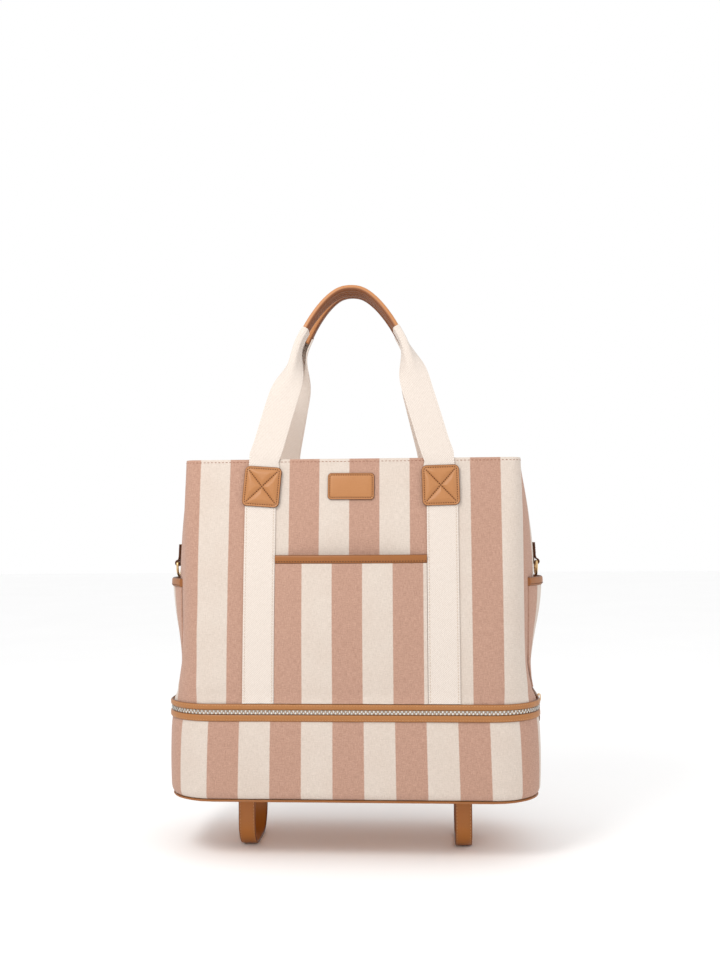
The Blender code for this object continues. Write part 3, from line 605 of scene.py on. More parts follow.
def build_upper_shell():
    """Front and back panels that wrap the corners, and the gussets sewn between them."""
    def cell(z, offset, stretch, a, b):
        level = level_at(z)
        (x, y), out, along = outline_point(level, stretch, a)
        gusset = stretch in ("left", "right")
        stripes = SIDE_STRIPES if gusset else UPPER_STRIPES
        start = stripe_u(along, stripes), z / stripes[0]
        end = stripe_u(outline_point(level, stretch, b)[2], stripes), z / stripes[0]
        face = {"left": 5, "right": 6}.get(stretch, 1 if y > 0 else -1)
        if gusset:
            seam = level[1] - level[2] - abs(y)
        else:
            seam = level[2] * abs(abs(math.atan2(out[0], abs(out[1]))) - math.pi / 2)
        reach = min(offset, -waist(z)) - SEAM * dent(seam, 0.0016) * (offset == 0)
        if offset == 0 or z > RIM_Z - 0.02:
            reach += puff(along, z, face) * smoothstep(seam / 0.02) + pucker(along, z, face)
        if gusset:
            reach += gusset_x(y, z) - level[0]
        return (x + out[0] * reach, y + out[1] * reach, z), start, end

    rows = shell_rows(UPPER_BOTTOM, RIM_Z, 16, 62)
    steps = columns_round(flat=84, corner=9, side=26, close=(0.015, 0.05))
    nodes = ("front_panel", "back_panel", "gusset_left", "gusset_right")
    build_shell("upper_canvas", "upper_bag", nodes, steps, rows, cell)


def tuck_in(z):
    """How far the shoe compartment's wall has turned in towards the base."""
    curl = max(0.0, 1 - (z - LOWER_BOTTOM) / TUCK_HEIGHT)
    return TUCK * (1 - math.sqrt(1 - curl * curl))


LOWER_STEPS = columns_round(flat=60, corner=22, side=14)


def build_lower_shell():
    """The shoe compartment's wall: one cloth round all four sides, its seam at the back."""
    half_round = distance_round(LOWER_LEVEL, "back", 0.5, True)

    def cell(z, offset, stretch, a, b):
        up = (z - LOWER_BOTTOM) / (LOWER_TOP - LOWER_BOTTOM)
        uv = []
        for share in (a, b):
            along = distance_round(LOWER_LEVEL, stretch, share, a < 0.5)
            along -= STRIPE_FLARE * (0.5 - up) * math.sin(math.pi * along / half_round)
            uv.append((stripe_u(along, LOWER_STRIPES), z / LOWER_STRIPES[0]))
        (x, y), out, _ = outline_point(LOWER_LEVEL, stretch, a)
        reach = min(offset, -waist(z)) - tuck_in(z)
        if offset == 0:
            lumps = noise.noise(Vector((x * 13, y * 13, z * 14)))
            reach += LOWER_SWELL * math.sin(up * math.pi) + LOWER_LUMPS * lumps
        return (x + out[0] * reach, y + out[1] * reach, z), *uv

    rows = shell_rows(LOWER_BOTTOM, LOWER_TOP, 24, 20)
    build_shell("lower_canvas", "shoe_compartment", ["lower_wall"], LOWER_STEPS, rows, cell)


def build_shoe_hem():
    """The shoe compartment's lining where it turns in over the edge of the stiffener board."""
    lip_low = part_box("base_board")[1].z + GAP * 2 / 3
    lip_high = lip_low + HEM_THICK
    top = LOWER_BOTTOM + TUCK_HEIGHT + 0.0015
    inner = [(z, -CANVAS - 0.0002 - HEM_THICK - tuck_in(z)) for z in np.linspace(lip_high, top, 7)]
    outer = [(z, -CANVAS - 0.0002 - tuck_in(z)) for z in np.linspace(top, lip_low, 7)]
    rows = []
    for z, reach in [(lip_high, -HEM_REACH), *inner, *outer, (lip_low, -HEM_REACH)]:
        places = (outline_point(LOWER_LEVEL, stretch, a)[:2] for stretch, a, _ in LOWER_STEPS)
        rows.append([(x + out[0] * reach, y + out[1] * reach, z) for (x, y), out in places])
    add_grid("shoe_lining_hem", np.array(rows), "lining", "shoe_compartment", turned=True)


# ---- zip round the shoe compartment
def run_round(step, with_back, level=ZIP_LEVEL):
    """Evenly spaced (place, outward direction) along an outline, counter-clockwise."""
    order = ROUND if with_back else ROUND[5:] + ROUND[:4]
    dense = []
    for stretch in order:
        for i in range(60):
            place, out, _ = outline_point(level, stretch, i / 60)
            dense.append((*place, *out))
    place, out, _ = outline_point(level, order[-1], 1.0)
    dense.append(dense[0] if with_back else (*place, *out))
    dense = np.array(dense)
    along = distances_along(dense[:, :2])
    count = round(along[-1] / step)
    places = []
    for s in np.linspace(0.0, along[-1], count + 1)[:-1 if with_back else None]:
        x, y, nx, ny = (float(np.interp(s, along, dense[:, k])) for k in range(4))
        places.append((Vector((x, y, 0.0)), Vector((nx, ny, 0.0)).normalized()))
    return places


def band(name, z, middle, section, look, body, nodes=(), with_back=True):
    """A strip round the outline, standing on its edge."""
    places = run_round(0.005, with_back)
    line = [(place + out * middle + Vector((0, 0, z)), (0, 0, 1), out) for place, out in places]
    ribbon(name, line, section, look, body, nodes, closed=with_back)


def build_zip_half(word, body, sign, node_band, node_row):
    """One leather facing with its stitching, its tape and its row of teeth."""
    low, high = (corner.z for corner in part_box(node_band))
    middle, half = (low + high) / 2, (high - low) / 2
    section = strap_section(half, BAND_PROUD / 2, 9, BAND_CROWN)
    band(f"{word}_facing", middle, BAND_PROUD / 2 + GAP / 2, section, "facing", body, [node_band])
    lift = Vector((0, 0, middle + sign * half * 0.45))
    run = [(p + out * (BAND_PROUD + 0.0008) + lift, out) for p, out in run_round(0.004, True)]
    stitches(f"{word}_facing_stitches", [run], "tan_thread", body, "facing")

    edge = high if sign < 0 else low
    section = strap_section(abs(edge - ZIP_Z) / 2, 0.0006, 5)
    band(f"{word}_tape", (edge + ZIP_Z) / 2, 0.0, section, "tape", body, with_back=False)
    places = [(p + out * 0.0013, out, Vector((0, 0, 1))) for p, out in run_round(TOOTH_PITCH, False)]
    teeth_along(f"{word}_teeth", places, ZIP_Z, sign, body, node_row)


def teeth_along(name, places, height, sign, body, node):
    """A row of zip teeth: cast blocks, each with a narrower head across the middle line."""
    blocks = ((0.0023, 0.00052, 0.00065), (0.0010, 0.00062, 0.00105), (-0.0002, 0.00044, 0.00085))
    points, faces = [], []
    for i, (place, out, up) in enumerate(places):
        if (i + (sign > 0)) % 2:
            continue
        along = up.cross(out)
        first = len(points)
        for drop, half_long, half_deep in blocks:
            centre = place + up * (height + sign * drop)
            for a, b in ((-1, -1), (1, -1), (1, 1), (-1, 1)):
                points.append(centre + along * half_long * 1.6 * a + out * half_deep * b)
        for r in range(len(blocks) - 1):
            for k in range(4):
                low, high = first + 4 * r, first + 4 * (r + 1)
                faces.append((low + k, low + (k + 1) % 4, high + (k + 1) % 4, high + k)[::sign])
        faces.append(tuple(first + k for k in (0, 3, 2, 1))[::sign])
        faces.append(tuple(first + 8 + k for k in (0, 1, 2, 3))[::sign])
    add_piece(name, points, faces, "silver", body, [node], crease=30)


def build_zip():
    build_zip_half("lower", "shoe_compartment", -1, "lower_band", "lower_zip_row")
    build_zip_half("upper", "upper_bag", 1, "upper_band", "upper_zip_row")
    low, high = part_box("fabric_hinge")
    rows = 9
    line = []
    for i in range(rows):
        z = low.z - 0.001 + (high.z - low.z + 0.002) * i / (rows - 1)
        sag = 0.0004 * math.sin(math.pi * i / (rows - 1))
        line.append(((0.0, high.y - 0.0011 - WAIST + sag, z), (1, 0, 0), (0, 1, 0)))
    section = strap_section(high.x, 0.0009, 41)
    hinge = ribbon("fabric_hinge_cloth", line, section, "hinge", nodes=["fabric_hinge"])
    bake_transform(hinge)


# ---- base
def build_base():
    low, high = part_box("base_piping")
    radius = (high.z - low.z) / 2
    drawn_in = LOWER_LEVEL[0] - high.x + radius
    level = tuple(size - drawn_in for size in LOWER_LEVEL)
    lift = Vector((0, 0, (low.z + high.z) / 2))
    line = [(p + lift, (0, 0, 1), out) for p, out in run_round(0.006, True, level)]
    section = round_section(radius * 1.1)
    ribbon("base_edge_piping", line, section, "binding", "shoe_compartment", ["base_piping"], True)
    for _, word in HANDS:
        build_mat_strap(word)


def build_mat_strap(word):
    """A leather loop: flat on the floor, up both sides and along the base."""
    low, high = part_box(f"mat_strap_{word}")
    middle_x = (low.x + high.x) / 2
    half_thick = LEATHER / 2
    reach, bend, corner = high.y - half_thick, MAT_STRAP_BEND, MAT_STRAP_CORNER
    bottom, top = half_thick, high.z - half_thick
    line = []

    def turn(y, z, radius, first, last, steps):
        for i in range(steps + 1):
            angle = math.radians(first + (last - first) * i / steps)
            out = Vector((0, math.cos(angle), math.sin(angle)))
            line.append((Vector((middle_x, y, z)) + out * radius, Vector((-1, 0, 0)), out))

    turn(reach - bend, bottom + bend, bend, -90, 0, 14)
    turn(reach - corner, top - corner, corner, 0, 90, 6)
    turn(corner - reach, top - corner, corner, 90, 180, 6)
    turn(bend - reach, bottom + bend, bend, 180, 270, 14)
    half = (high.x - low.x) / 2
    section = strap_section(half, half_thick, 9)
    ribbon(f"mat_loop_{word}", line, section, "strap", "shoe_compartment", [f"mat_strap_{word}"], True)
    runs = []
    for across in (-half + 0.0022, half - 0.0022):
        runs.append([(p + w * across + out * half_thick, out) for p, w, out in line])
    stitches(f"mat_loop_stitches_{word}", runs, "tan_thread", "shoe_compartment", "mat_strap")


# ---- handles
LEG_LINE = {
    FRONT: ((0.1080, 0.4848), (0.1020, 0.5030), (0.0930, 0.5360), (0.0780, 0.5890), (0.0695, 0.6240)),
    BACK: ((0.1000, 0.4848), (0.0975, 0.5030), (0.0900, 0.5360), (0.0780, 0.5890), (0.0695, 0.6240)),
}
GRIP_LINE = ((0.0630, 0.6410), (0.0490, 0.6660), (0.0330, 0.6865), (0.0165, 0.6995), (0.0, 0.7030))
HANDLE_FOOT_Y = 0.0726
HANDLE_LEAN_FROM = 0.4848
GRIP_TOP_Y = 0.0136
FULL_CURL = 1.56             # how far the webbing's edges turn back before they enter the grip, in radians
INNER_CURL_Z = 0.5620        # the heights where its edges start to turn
OUTER_CURL_Z = {LEFT: 0.5520, RIGHT: 0.5720}
GRIP_HALF = (0.0044, 0.0118)  # half the grip's thickness and half its width
GRIP_CREASE = 0.0050         # from the middle of its underside to the crease on each side
HANDLE_SWAY = -0.003
LEAN = (HANDLE_FOOT_Y - GRIP_TOP_Y) / (GRIP_LINE[-1][1] - HANDLE_LEAN_FROM)


def handle_point(side, x, z, across):
    """A point of a handle, which leans towards the middle plane above the rim and sways with height."""
    rise = z - HANDLE_LEAN_FROM
    rise = 0.5 * (rise + math.sqrt(rise * rise + 0.006 ** 2)) if rise > -0.02 else 0.0
    lean = math.atan(LEAN) * smoothstep((z - HANDLE_LEAN_FROM) / 0.02)
    sway = HANDLE_SWAY * rise / (GRIP_LINE[-1][1] - HANDLE_LEAN_FROM)
    distance = HANDLE_FOOT_Y - LEAN * rise
    return Vector((x + sway, side * (distance + across * math.cos(lean)), z + across * math.sin(lean)))


def curve_through(points, steps):
    """A smooth open curve through points, with a number of steps between each pair."""
    points = [Vector(p) for p in points]
    ends = [2 * points[0] - points[1], *points, 2 * points[-1] - points[-2]]
    line = []
    for a, b, c, d in zip(ends, ends[1:], ends[2:], ends[3:]):
        for i in range(steps):
            t = i / steps
            line.append(0.5 * (2 * b + (c - a) * t + (2 * a - 5 * b + 4 * c - d) * t * t
                               + (3 * b - a - 3 * c + d) * t ** 3))
    return line + [points[-1]]


STEPS = 10
GRIP_START = len(LEG_LINE[FRONT]) * STEPS + 1


def handle_curve(side):
    """A handle's middle line in (x, z), from the left foot over the grip to the right foot."""
    left = [(-x, z) for x, z in LEG_LINE[side] + GRIP_LINE]
    return curve_through(left + [(-x, z) for x, z in reversed(left[:-1])], STEPS)


def handle_frame(line, i):
    """The direction along the handle at one of its points."""
    before, after = line[max(i - 1, 0)], line[min(i + 1, len(line) - 1)]
    return (after - before).normalized()


def curled_section(curl_left, curl_right, across=11):
    """A webbing strip's cut end whose edges curl back: (place across, depth), left edge first."""
    middle = {0: (0.0, 0.0)}
    for sign, curl in ((-1, curl_left), (1, curl_right)):
        a = d = 0.0
        step = WEBBING_HALF / across
        for k in range(1, across + 1):
            angle = curl * smoothstep(((k - 0.5) * step - 0.0010) / 0.0045)
            a += math.cos(angle) * step
            d -= math.sin(angle) * step
            middle[sign * k] = (sign * a, d)
    keys = sorted(middle)
    shift = -min(d for _, d in middle.values()) / 2
    outer, inner = [], []
    for k in keys:
        before, after = middle[max(k - 1, keys[0])], middle[min(k + 1, keys[-1])]
        slope = math.atan2(after[1] - before[1], after[0] - before[0])
        half = WEBBING_THICK / 2 * (1 if abs(k) < across else 0.6)
        a, d = middle[k]
        outer.append((a - math.sin(slope) * half, d + shift + math.cos(slope) * half))
        inner.append((a + math.sin(slope) * half, d + shift - math.cos(slope) * half))
    return outer + inner[::-1]


def build_webbing(side, word, hand, hand_word, line):
    """Webbing in one length: sewn down the panel, free above the patch, and folded into the grip."""
    node = f"{word}_webbing_{hand_word}"
    low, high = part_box(node)
    sewn_x = (low.x + high.x) / 2
    start = UPPER_BOTTOM + SEWN_ABOVE
    flat = curled_section(0.0, 0.0)
    sections = []
    for z in np.linspace(start, high.z, 44):
        x = sewn_x + (hand * LEG_LINE[side][0][0] - sewn_x) * smoothstep((z - 0.43) / 0.04)
        row = [Vector((x + w, face_y(side, x + w, z, GAP + WEBBING_THICK / 2 + d), z)) for w, d in flat]
        sections.append(row)
    # The left half of the handle's line is followed, and mirrored for the right leg.
    for i, place in enumerate(line[:GRIP_START + 4]):
        along = handle_frame(line, i)
        inner = FULL_CURL * smoothstep((place.y - INNER_CURL_Z) / 0.075)
        outer = FULL_CURL * smoothstep((place.y - OUTER_CURL_Z[hand]) / 0.072)
        section = curled_section(outer, inner) if hand == LEFT else curled_section(inner, outer)
        sections.append([handle_point(side, along.y * w - hand * place.x, place.y + hand * along.x * w, d)
                         for w, d in section])
    points = np.array([[tuple(p) for p in row] for row in sections])
    along = distances_along(points.mean(axis=1))
    across = [w for w, _ in flat]
    edge = np.tile([smoothstep((abs(w) / WEBBING_HALF - 0.9) / 0.1) for w in across], len(sections))
    nodes = (node, f"{word}_handle_leg_{hand_word}")
    uv = strip_uv(across, [*along, along[-1]])
    strap = add_grid(f"{word}_strap_{hand_word}", points, "webbing", None, nodes, False, uv, edge)
    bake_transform(strap)
    runs = []
    for x in (sewn_x - WEBBING_HALF + 0.0024, sewn_x + WEBBING_HALF - 0.0024):
        zs = np.linspace(start + 0.001, high.z - 0.046, 60)
        spots = [Vector((x, face_y(side, x, z, GAP + WEBBING_THICK), z)) for z in zs]
        runs.append([(spot, Vector((0, side, 0))) for spot in spots])
    stitches(f"{word}_strap_stitches_{hand_word}", runs, "cream_thread", "upper_bag", "webbing")


def grip_section():
    """Round a grip's cut end: (out of the loop, depth), with creases along the underside."""
    half_out, half_deep = GRIP_HALF
    section = []
    for i in range(72):
        turn = 2 * math.pi * i / 72
        c, s = math.cos(turn), math.sin(turn)
        out = half_out * math.copysign(abs(c) ** 0.55, c)
        deep = half_deep * math.copysign(abs(s) ** 0.75, s)
        if c < 0:
            for crease in (-GRIP_CREASE, 0.0, GRIP_CREASE):
                out += 0.0009 * dent(deep - crease, 0.0011)
        section.append((out, deep))
    return section


def build_grip(side, word, line):
    """A leather sleeve wrapped round the folded webbing, creased underneath, with painted shade along its
    underside.
    """
    first = GRIP_START
    last = len(line) - 1 - first
    section = grip_section()
    rows = []
    for i in range(first, last + 1):
        along = handle_frame(line, i)
        place = line[i]
        full = 0.62 + 0.38 * math.sin(math.pi * (i - first) / (last - first)) ** 0.8
        row = []
        for out, deep in section:
            reach = out * (0.85 + 0.15 * full)
            row.append(handle_point(side, place.x - along.y * reach, place.y + along.x * reach, deep * full))
        rows.append(row)
    # Painted shade: the edge value darkens the grip's underside, a little less along its creases; the cut
    # ends get painted edges.
    painted_under_shade = []
    for out, deep in section:
        crease = 1 - 0.3 * dent(abs(deep) - GRIP_CREASE, 0.0006)
        painted_under_shade.append(0.95 * smoothstep(-out / 0.002) * crease)
    edge = np.tile(painted_under_shade, (len(rows), 1))
    edge[0], edge[-1] = 0.8, 0.8
    nodes = [f"{word}_grip"]
    add_grid(f"{word}_grip_wrap", np.array(rows), "grip", f"{word}_handle", nodes, False, edge=edge)


# ---- patches and label
PATCH_TILT = {LEFT: -4.2, RIGHT: 1.2}
LABEL_TILT = -0.4
CROSSED_PATCH = {
    "radius": 0.0065, "swell": 0.0016, "lift": GAP + WEBBING_THICK, "inset": 0.0030, "crossed": True,
}
LABEL = {"radius": 0.0045, "swell": 0.0003, "lift": GAP / 2, "inset": 0.0026, "crossed": False}


def rounded_outline(half_x, half_z, radius, corner_steps=8, side_steps=18):
    """A closed rounded rectangle, counter-clockwise, with points along its sides."""
    arcs = []
    for sx, sz, first in ((1, 1, 0), (-1, 1, 90), (-1, -1, 180), (1, -1, 270)):
        middle = Vector((sx * (half_x - radius), sz * (half_z - radius)))
        angles = [math.radians(first + 90 * i / corner_steps) for i in range(corner_steps + 1)]
        arcs.append([middle + Vector((math.cos(a), math.sin(a))) * radius for a in angles])
    outline = []
    for arc, following in zip(arcs, arcs[1:] + arcs[:1]):
        outline += arc + [arc[-1].lerp(following[0], i / side_steps) for i in range(1, side_steps)]
    return outline


def inside_distance(p, half_x, half_z, radius):
    """How far a point is inside a rounded rectangle's edge."""
    qx, qz = abs(p.x) - (half_x - radius), abs(p.y) - (half_z - radius)
    return radius - math.hypot(max(qx, 0.0), max(qz, 0.0)) - min(max(qx, qz), 0.0)


def pad_height(p, half, style):
    """Thickness of a sewn leather patch: swollen between its stitch lines, rolled off at its edge."""
    edge = inside_distance(p, *half, style["radius"])
    from_sewing = edge - style["inset"]
    groove = dent(from_sewing, 0.0009)
    fullness = smoothstep(from_sewing / 0.006)
    if style["crossed"]:
        diagonal = abs(abs(p.x) / half[0] - abs(p.y) / half[1]) * half[0] * half[1] / math.hypot(*half)
        groove = max(groove, dent(diagonal, 0.0009) * smoothstep(from_sewing / 0.001))
        fullness *= smoothstep(diagonal / 0.006)
    rolled = math.sqrt(max(0.0, 1 - max(0.0, 1 - edge / 0.0011) ** 2))
    return LEATHER * (0.35 + 0.65 * rolled) + style["swell"] * fullness - 0.0009 * groove


def build_patch(name, side, node, tilt, style):
    """A leather patch on the front or back, with its stitches in their own grooves."""
    low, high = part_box(node)
    centre, half = ((low.x + high.x) / 2, (low.z + high.z) / 2), ((high.x - low.x) / 2, (high.z - low.z) / 2)
    cos_t, sin_t = math.cos(math.radians(tilt)), math.sin(math.radians(tilt))

    def place(p, height):
        x = centre[0] + p.x * cos_t - p.y * sin_t
        z = centre[1] + p.x * sin_t + p.y * cos_t
        return Vector((x, face_y(side, x, z, style["lift"] + height), z))

    outline = rounded_outline(*half, style["radius"])
    rings = [0.0005] + [i / 22 for i in range(1, 20)] + [0.89, 0.915, 0.94, 0.96, 0.98, 0.992, 1.0]
    rows, edges = [], []
    for share in rings:
        row = [p * share for p in outline]
        rows.append([tuple(place(p, pad_height(p, half, style))) for p in row])
        edges.append([smoothstep(1 - inside_distance(p, *half, style["radius"]) / 0.0013) for p in row])
    for share, edge in ((1.0, 1.0), (0.001, 0.0)):
        rows.append([tuple(place(p * share, 0.0)) for p in outline])
        edges.append([edge] * len(outline))
    add_grid(name, np.array(rows), "leather", "upper_bag", [node], edge=edges, turned=side == FRONT)

    out = Vector((0, side, 0))
    inner = [size - style["inset"] for size in half]
    border = rounded_outline(*inner, max(0.001, style["radius"] - style["inset"]))
    runs = [[(place(p, pad_height(p, half, style)), out) for p in border + border[:1]]]
    for flip in (1, -1) if style["crossed"] else ():
        tip = Vector((inner[0] - 0.0022, flip * (inner[1] - 0.0022)))
        runs.append([(place(tip * (i / 10 - 1), LEATHER - 0.0006), out) for i in range(21)])
    stitches(f"{name}_stitches", runs, "brown_thread", "upper_bag", "patch")


def build_patches():
    for side, word in SIDES:
        for hand, hand_word in HANDS:
            name = f"{word}_crossed_patch_{hand_word}"
            build_patch(name, side, f"{word}_patch_{hand_word}", PATCH_TILT[hand], CROSSED_PATCH)
    build_patch("blank_label", FRONT, "label", LABEL_TILT, LABEL)


# ---- pockets
def build_cloth(name, rows, columns, place, uv_of, lifts, body, node, turned):
    """A thin closed canvas sheet of points place(row, column, lift), for an outer and an inner lift."""
    outer, inner = ([[place(r, c, lift) for c in columns] for r in rows] for lift in lifts)
    points = np.array([a + b[::-1] for a, b in zip(outer, inner)])
    start = np.array([[uv_of(r, c) for c in [*columns, *columns[::-1]]] for r in rows])
    cloth = add_grid(name, points, "canvas", closed=False, uv=(start, np.roll(start, -1, axis=1)))
    if turned:
        cloth.data.flip_normals()
    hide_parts(node)
    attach(cloth, body)


def bind_mouth(names, spots, out, up, overlap, node):
    """A folded leather edge along a pocket's mouth, and its stitches."""
    out = Vector(out)
    half_height = overlap / 2 + 0.0002
    line = [(Vector(spot), Vector((0, 0, up)), out) for spot in spots]
    section = strap_section(half_height, BINDING_HALF, 7, BINDING_CROWN)
    ribbon(names[0], line, section, "binding", "upper_bag", [node])
    to_thread = out * 0.0021 - Vector((0, 0, half_height - 0.0026))
    run = [(spot + to_thread, out) for spot, _, _ in line]
    stitches(names[1], [run], "brown_thread", "upper_bag", "pocket")


def build_front_pocket(side, word):
    """A slip pocket between the webbing legs, standing a little off the panel at its mouth."""
    low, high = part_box(f"{word}_pocket")
    binding_low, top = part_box(f"{word}_pocket_binding")
    half, bottom, mouth = high.x, UPPER_BOTTOM + SEWN_ABOVE, high.z

    def stand_off(x, z):
        share = max(0.0, (z - low.z) / (top.z - low.z))
        return 2 * GAP + POCKET_BULGE * (1 - (x / half) ** 2) * math.sin(share * math.pi / 2)

    def place(z, x, lift):
        fade = 1 - smoothstep((z - bottom) / 0.1) * 0.6
        wall = level_at(z)[1] + puff(x, z, side) + pucker(x, z, side) * fade - waist(z)
        hem = 0.0006 * dent(abs(x) - (half - 0.003), 0.003)
        return x, side * (wall + stand_off(x, z) + lift + hem), z

    def uv_of(z, x):
        return stripe_u(x, POCKET_STRIPES), z / POCKET_STRIPES[0]

    xs = np.linspace(-half, half, 61)
    zs = np.linspace(bottom, bottom + 0.02, 10, endpoint=False)
    zs = np.concatenate([zs, np.linspace(bottom + 0.02, mouth, 34)])
    build_cloth(f"{word}_slip_pocket", zs, xs, place, uv_of, (POCKET_CLOTH, 0.0), "upper_bag",
                f"{word}_pocket", side == BACK)
    z = (binding_low.z + top.z) / 2
    ys = [side * (level_at(z)[1] + puff(x, z, side) + stand_off(x, z) + BINDING_LIFT) for x in xs]
    names = f"{word}_slip_pocket_edge", f"{word}_slip_pocket_stitches"
    bind_mouth(names, [(x, y, z) for x, y in zip(xs, ys)], (0, side, 0), side, top.z - mouth,
               f"{word}_pocket_binding")


def build_side_pocket(hand, word):
    """The pouch on a gusset, fullest at its mouth."""
    low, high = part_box(f"side_pocket_{word}")
    binding_low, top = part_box(f"side_pocket_binding_{word}")
    half, bottom, mouth = high.y, low.z, high.z

    def place(z, y, lift):
        share = smoothstep((z - bottom) / (top.z - bottom))
        crown = max(0.0, math.cos(y / half * math.pi / 2)) ** 0.8
        lumps = 0.0009 * noise.noise(Vector((y * 30, hand * 3.0, z * 22))) * crown
        return hand * (gusset_x(y, z) + 2 * GAP + SIDE_POCKET_BULGE * crown * share + lift + lumps), y, z

    def uv_of(z, y):
        return stripe_u(y, POUCH_STRIPES), z / POUCH_STRIPES[0]

    ys = np.linspace(-half, half, 41)
    zs = np.linspace(bottom, mouth, 36)
    build_cloth(f"side_pouch_{word}", zs, ys, place, uv_of, (POCKET_CLOTH, 0.0), "upper_bag",
                f"side_pocket_{word}", hand == LEFT)
    spots = [place((binding_low.z + top.z) / 2, y, BINDING_LIFT) for y in ys]
    names = f"side_pouch_edge_{word}", f"side_pouch_stitches_{word}"
    bind_mouth(names, spots, (hand, 0, 0), -hand, top.z - mouth, f"side_pocket_binding_{word}")


# ---- rings
RING_Z = 0.3535
RING_WIRE = 0.0016
RING_HALF_WIDTH = 0.0130
RING_DROP = 0.0170
TAB_THICK = 0.0018
TAB_LENGTH = 0.024


def build_ring_tab(hand, word, wire_x):
    """A sewn leather loop on the gusset, which goes round the ring's straight side."""
    lean = (gusset_x(0.0, RING_Z) - gusset_x(0.0, RING_Z + TAB_LENGTH)) / TAB_LENGTH
    middle = RING_WIRE + 0.0009 + TAB_THICK / 2
    over = TAB_THICK + 2 * GAP - middle
    path = [(-middle, TAB_LENGTH), (-middle, TAB_LENGTH / 2)]
    for i in range(25):
        angle = math.radians(180 + 270 * i / 24)
        path.append((middle * math.cos(angle), middle * math.sin(angle)))
    path += [(over, 2.2 * middle), (over, TAB_LENGTH)]
    spots = [Vector((hand * (wire_x + a - lean * max(b, 0.0)), 0.0, RING_Z + b)) for a, b in path]
    across = Vector((0, hand, 0))
    line = []
    for i, spot in enumerate(spots):
        along = (spots[min(i + 1, len(spots) - 1)] - spots[max(i - 1, 0)]).normalized()
        line.append((spot, across, along.cross(across)))
    low_y, high_y = (corner.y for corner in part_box(f"ring_tab_{word}"))
    section = strap_section((high_y - low_y) / 2, TAB_THICK / 2, 7)
    ribbon(f"ring_loop_{word}", line, section, "leather", "upper_bag", [f"ring_tab_{word}"])
    face_x = wire_x + over + TAB_THICK / 2
    run = []
    for y, z in ((-0.0075, 0.010), (0.0075, 0.010), (0.0075, 0.021), (-0.0075, 0.021), (-0.0075, 0.010)):
        run.append((Vector((hand * (face_x - lean * z), y, RING_Z + z)), Vector((hand, 0, 0))))
    stitches(f"ring_loop_stitches_{word}", [run], "brown_thread", "upper_bag", "ring_tab")


def build_ring(hand, word):
    """A D-ring of round wire in its tab."""
    node = f"ring_{word}"
    wire_x = abs(sum(corner.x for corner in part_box(node))) / 2
    build_ring_tab(hand, word, wire_x)
    shoulder = RING_HALF_WIDTH * 0.985
    shape = [(t * RING_HALF_WIDTH * 0.88, 0.0) for t in np.linspace(-1, 1, 9)] + [(shoulder, -0.0012)]
    drop = RING_DROP - RING_HALF_WIDTH
    for i in range(25):
        angle = math.radians(-180 * i / 24)
        shape.append((RING_HALF_WIDTH * math.cos(angle), -drop + RING_HALF_WIDTH * math.sin(angle)))
    shape.append((-shoulder, -0.0012))
    across = Vector((1, 0, 0))
    loop = []
    for i, (y, z) in enumerate(shape):
        before, after = shape[i - 1], shape[(i + 1) % len(shape)]
        along = Vector((0, after[0] - before[0], after[1] - before[1])).normalized()
        loop.append((Vector((hand * wire_x, y, RING_Z + z)), across, along.cross(across)))
    ribbon(f"d_ring_{word}", loop, round_section(RING_WIRE, 14), "gold", node, [node], True)


# ---- top closure
def build_flap(side, word):
    """Half of the recessed top: a canvas facing, its tape and its row of teeth."""
    low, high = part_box(f"top_facing_{word}")
    near, far = sorted((abs(low.y), abs(high.y)))
    half = high.x
    body = f"top_flap_{word}"
    out = Vector((0, 0, 1))

    def place(x, y, lift):
        lump = noise.noise(Vector((x * 22, y * 30 * side, 2.0))) * smoothstep((far - y) / 0.02)
        return x, side * y, FLAP_Z + lift + 0.0007 * lump

    def uv_of(x, y):
        return stripe_u(x, UPPER_STRIPES), side * y / UPPER_STRIPES[0]

    xs, ys = np.linspace(-half, half, 91), np.linspace(near - 0.0012, far, 15)
    build_cloth(f"top_panel_{word}", xs, ys, place, uv_of, (0.0010, -0.0008), body, f"top_facing_{word}",
                side == FRONT)
    tape_near, tape_far = 0.0008, near - 0.0004
    middle = side * (tape_near + tape_far) / 2
    line = [(Vector((x, middle, FLAP_Z)), Vector((0, 1, 0)), out) for x in np.linspace(half, -half, 46)]
    ribbon(f"top_tape_{word}", line, strap_section((tape_far - tape_near) / 2, 0.0005, 9), "tape", body)
    spots = [Vector((x, 0.0, FLAP_Z)) for x in np.arange(-half + 0.002, half - 0.001, TOOTH_PITCH)]
    places = [(spot, out, Vector((0, 1, 0))) for spot in spots]
    teeth_along(f"top_teeth_{word}", places, 0.0, side, body, f"top_zip_row_{word}")
    sewn_y = side * (near + 0.003)
    run = [(Vector((x, sewn_y, FLAP_Z + 0.0011)), out) for x in np.linspace(-half + 0.004, half - 0.004, 80)]
    stitches(f"top_panel_stitches_{word}", [run], "rim_thread", body, "top_panel")


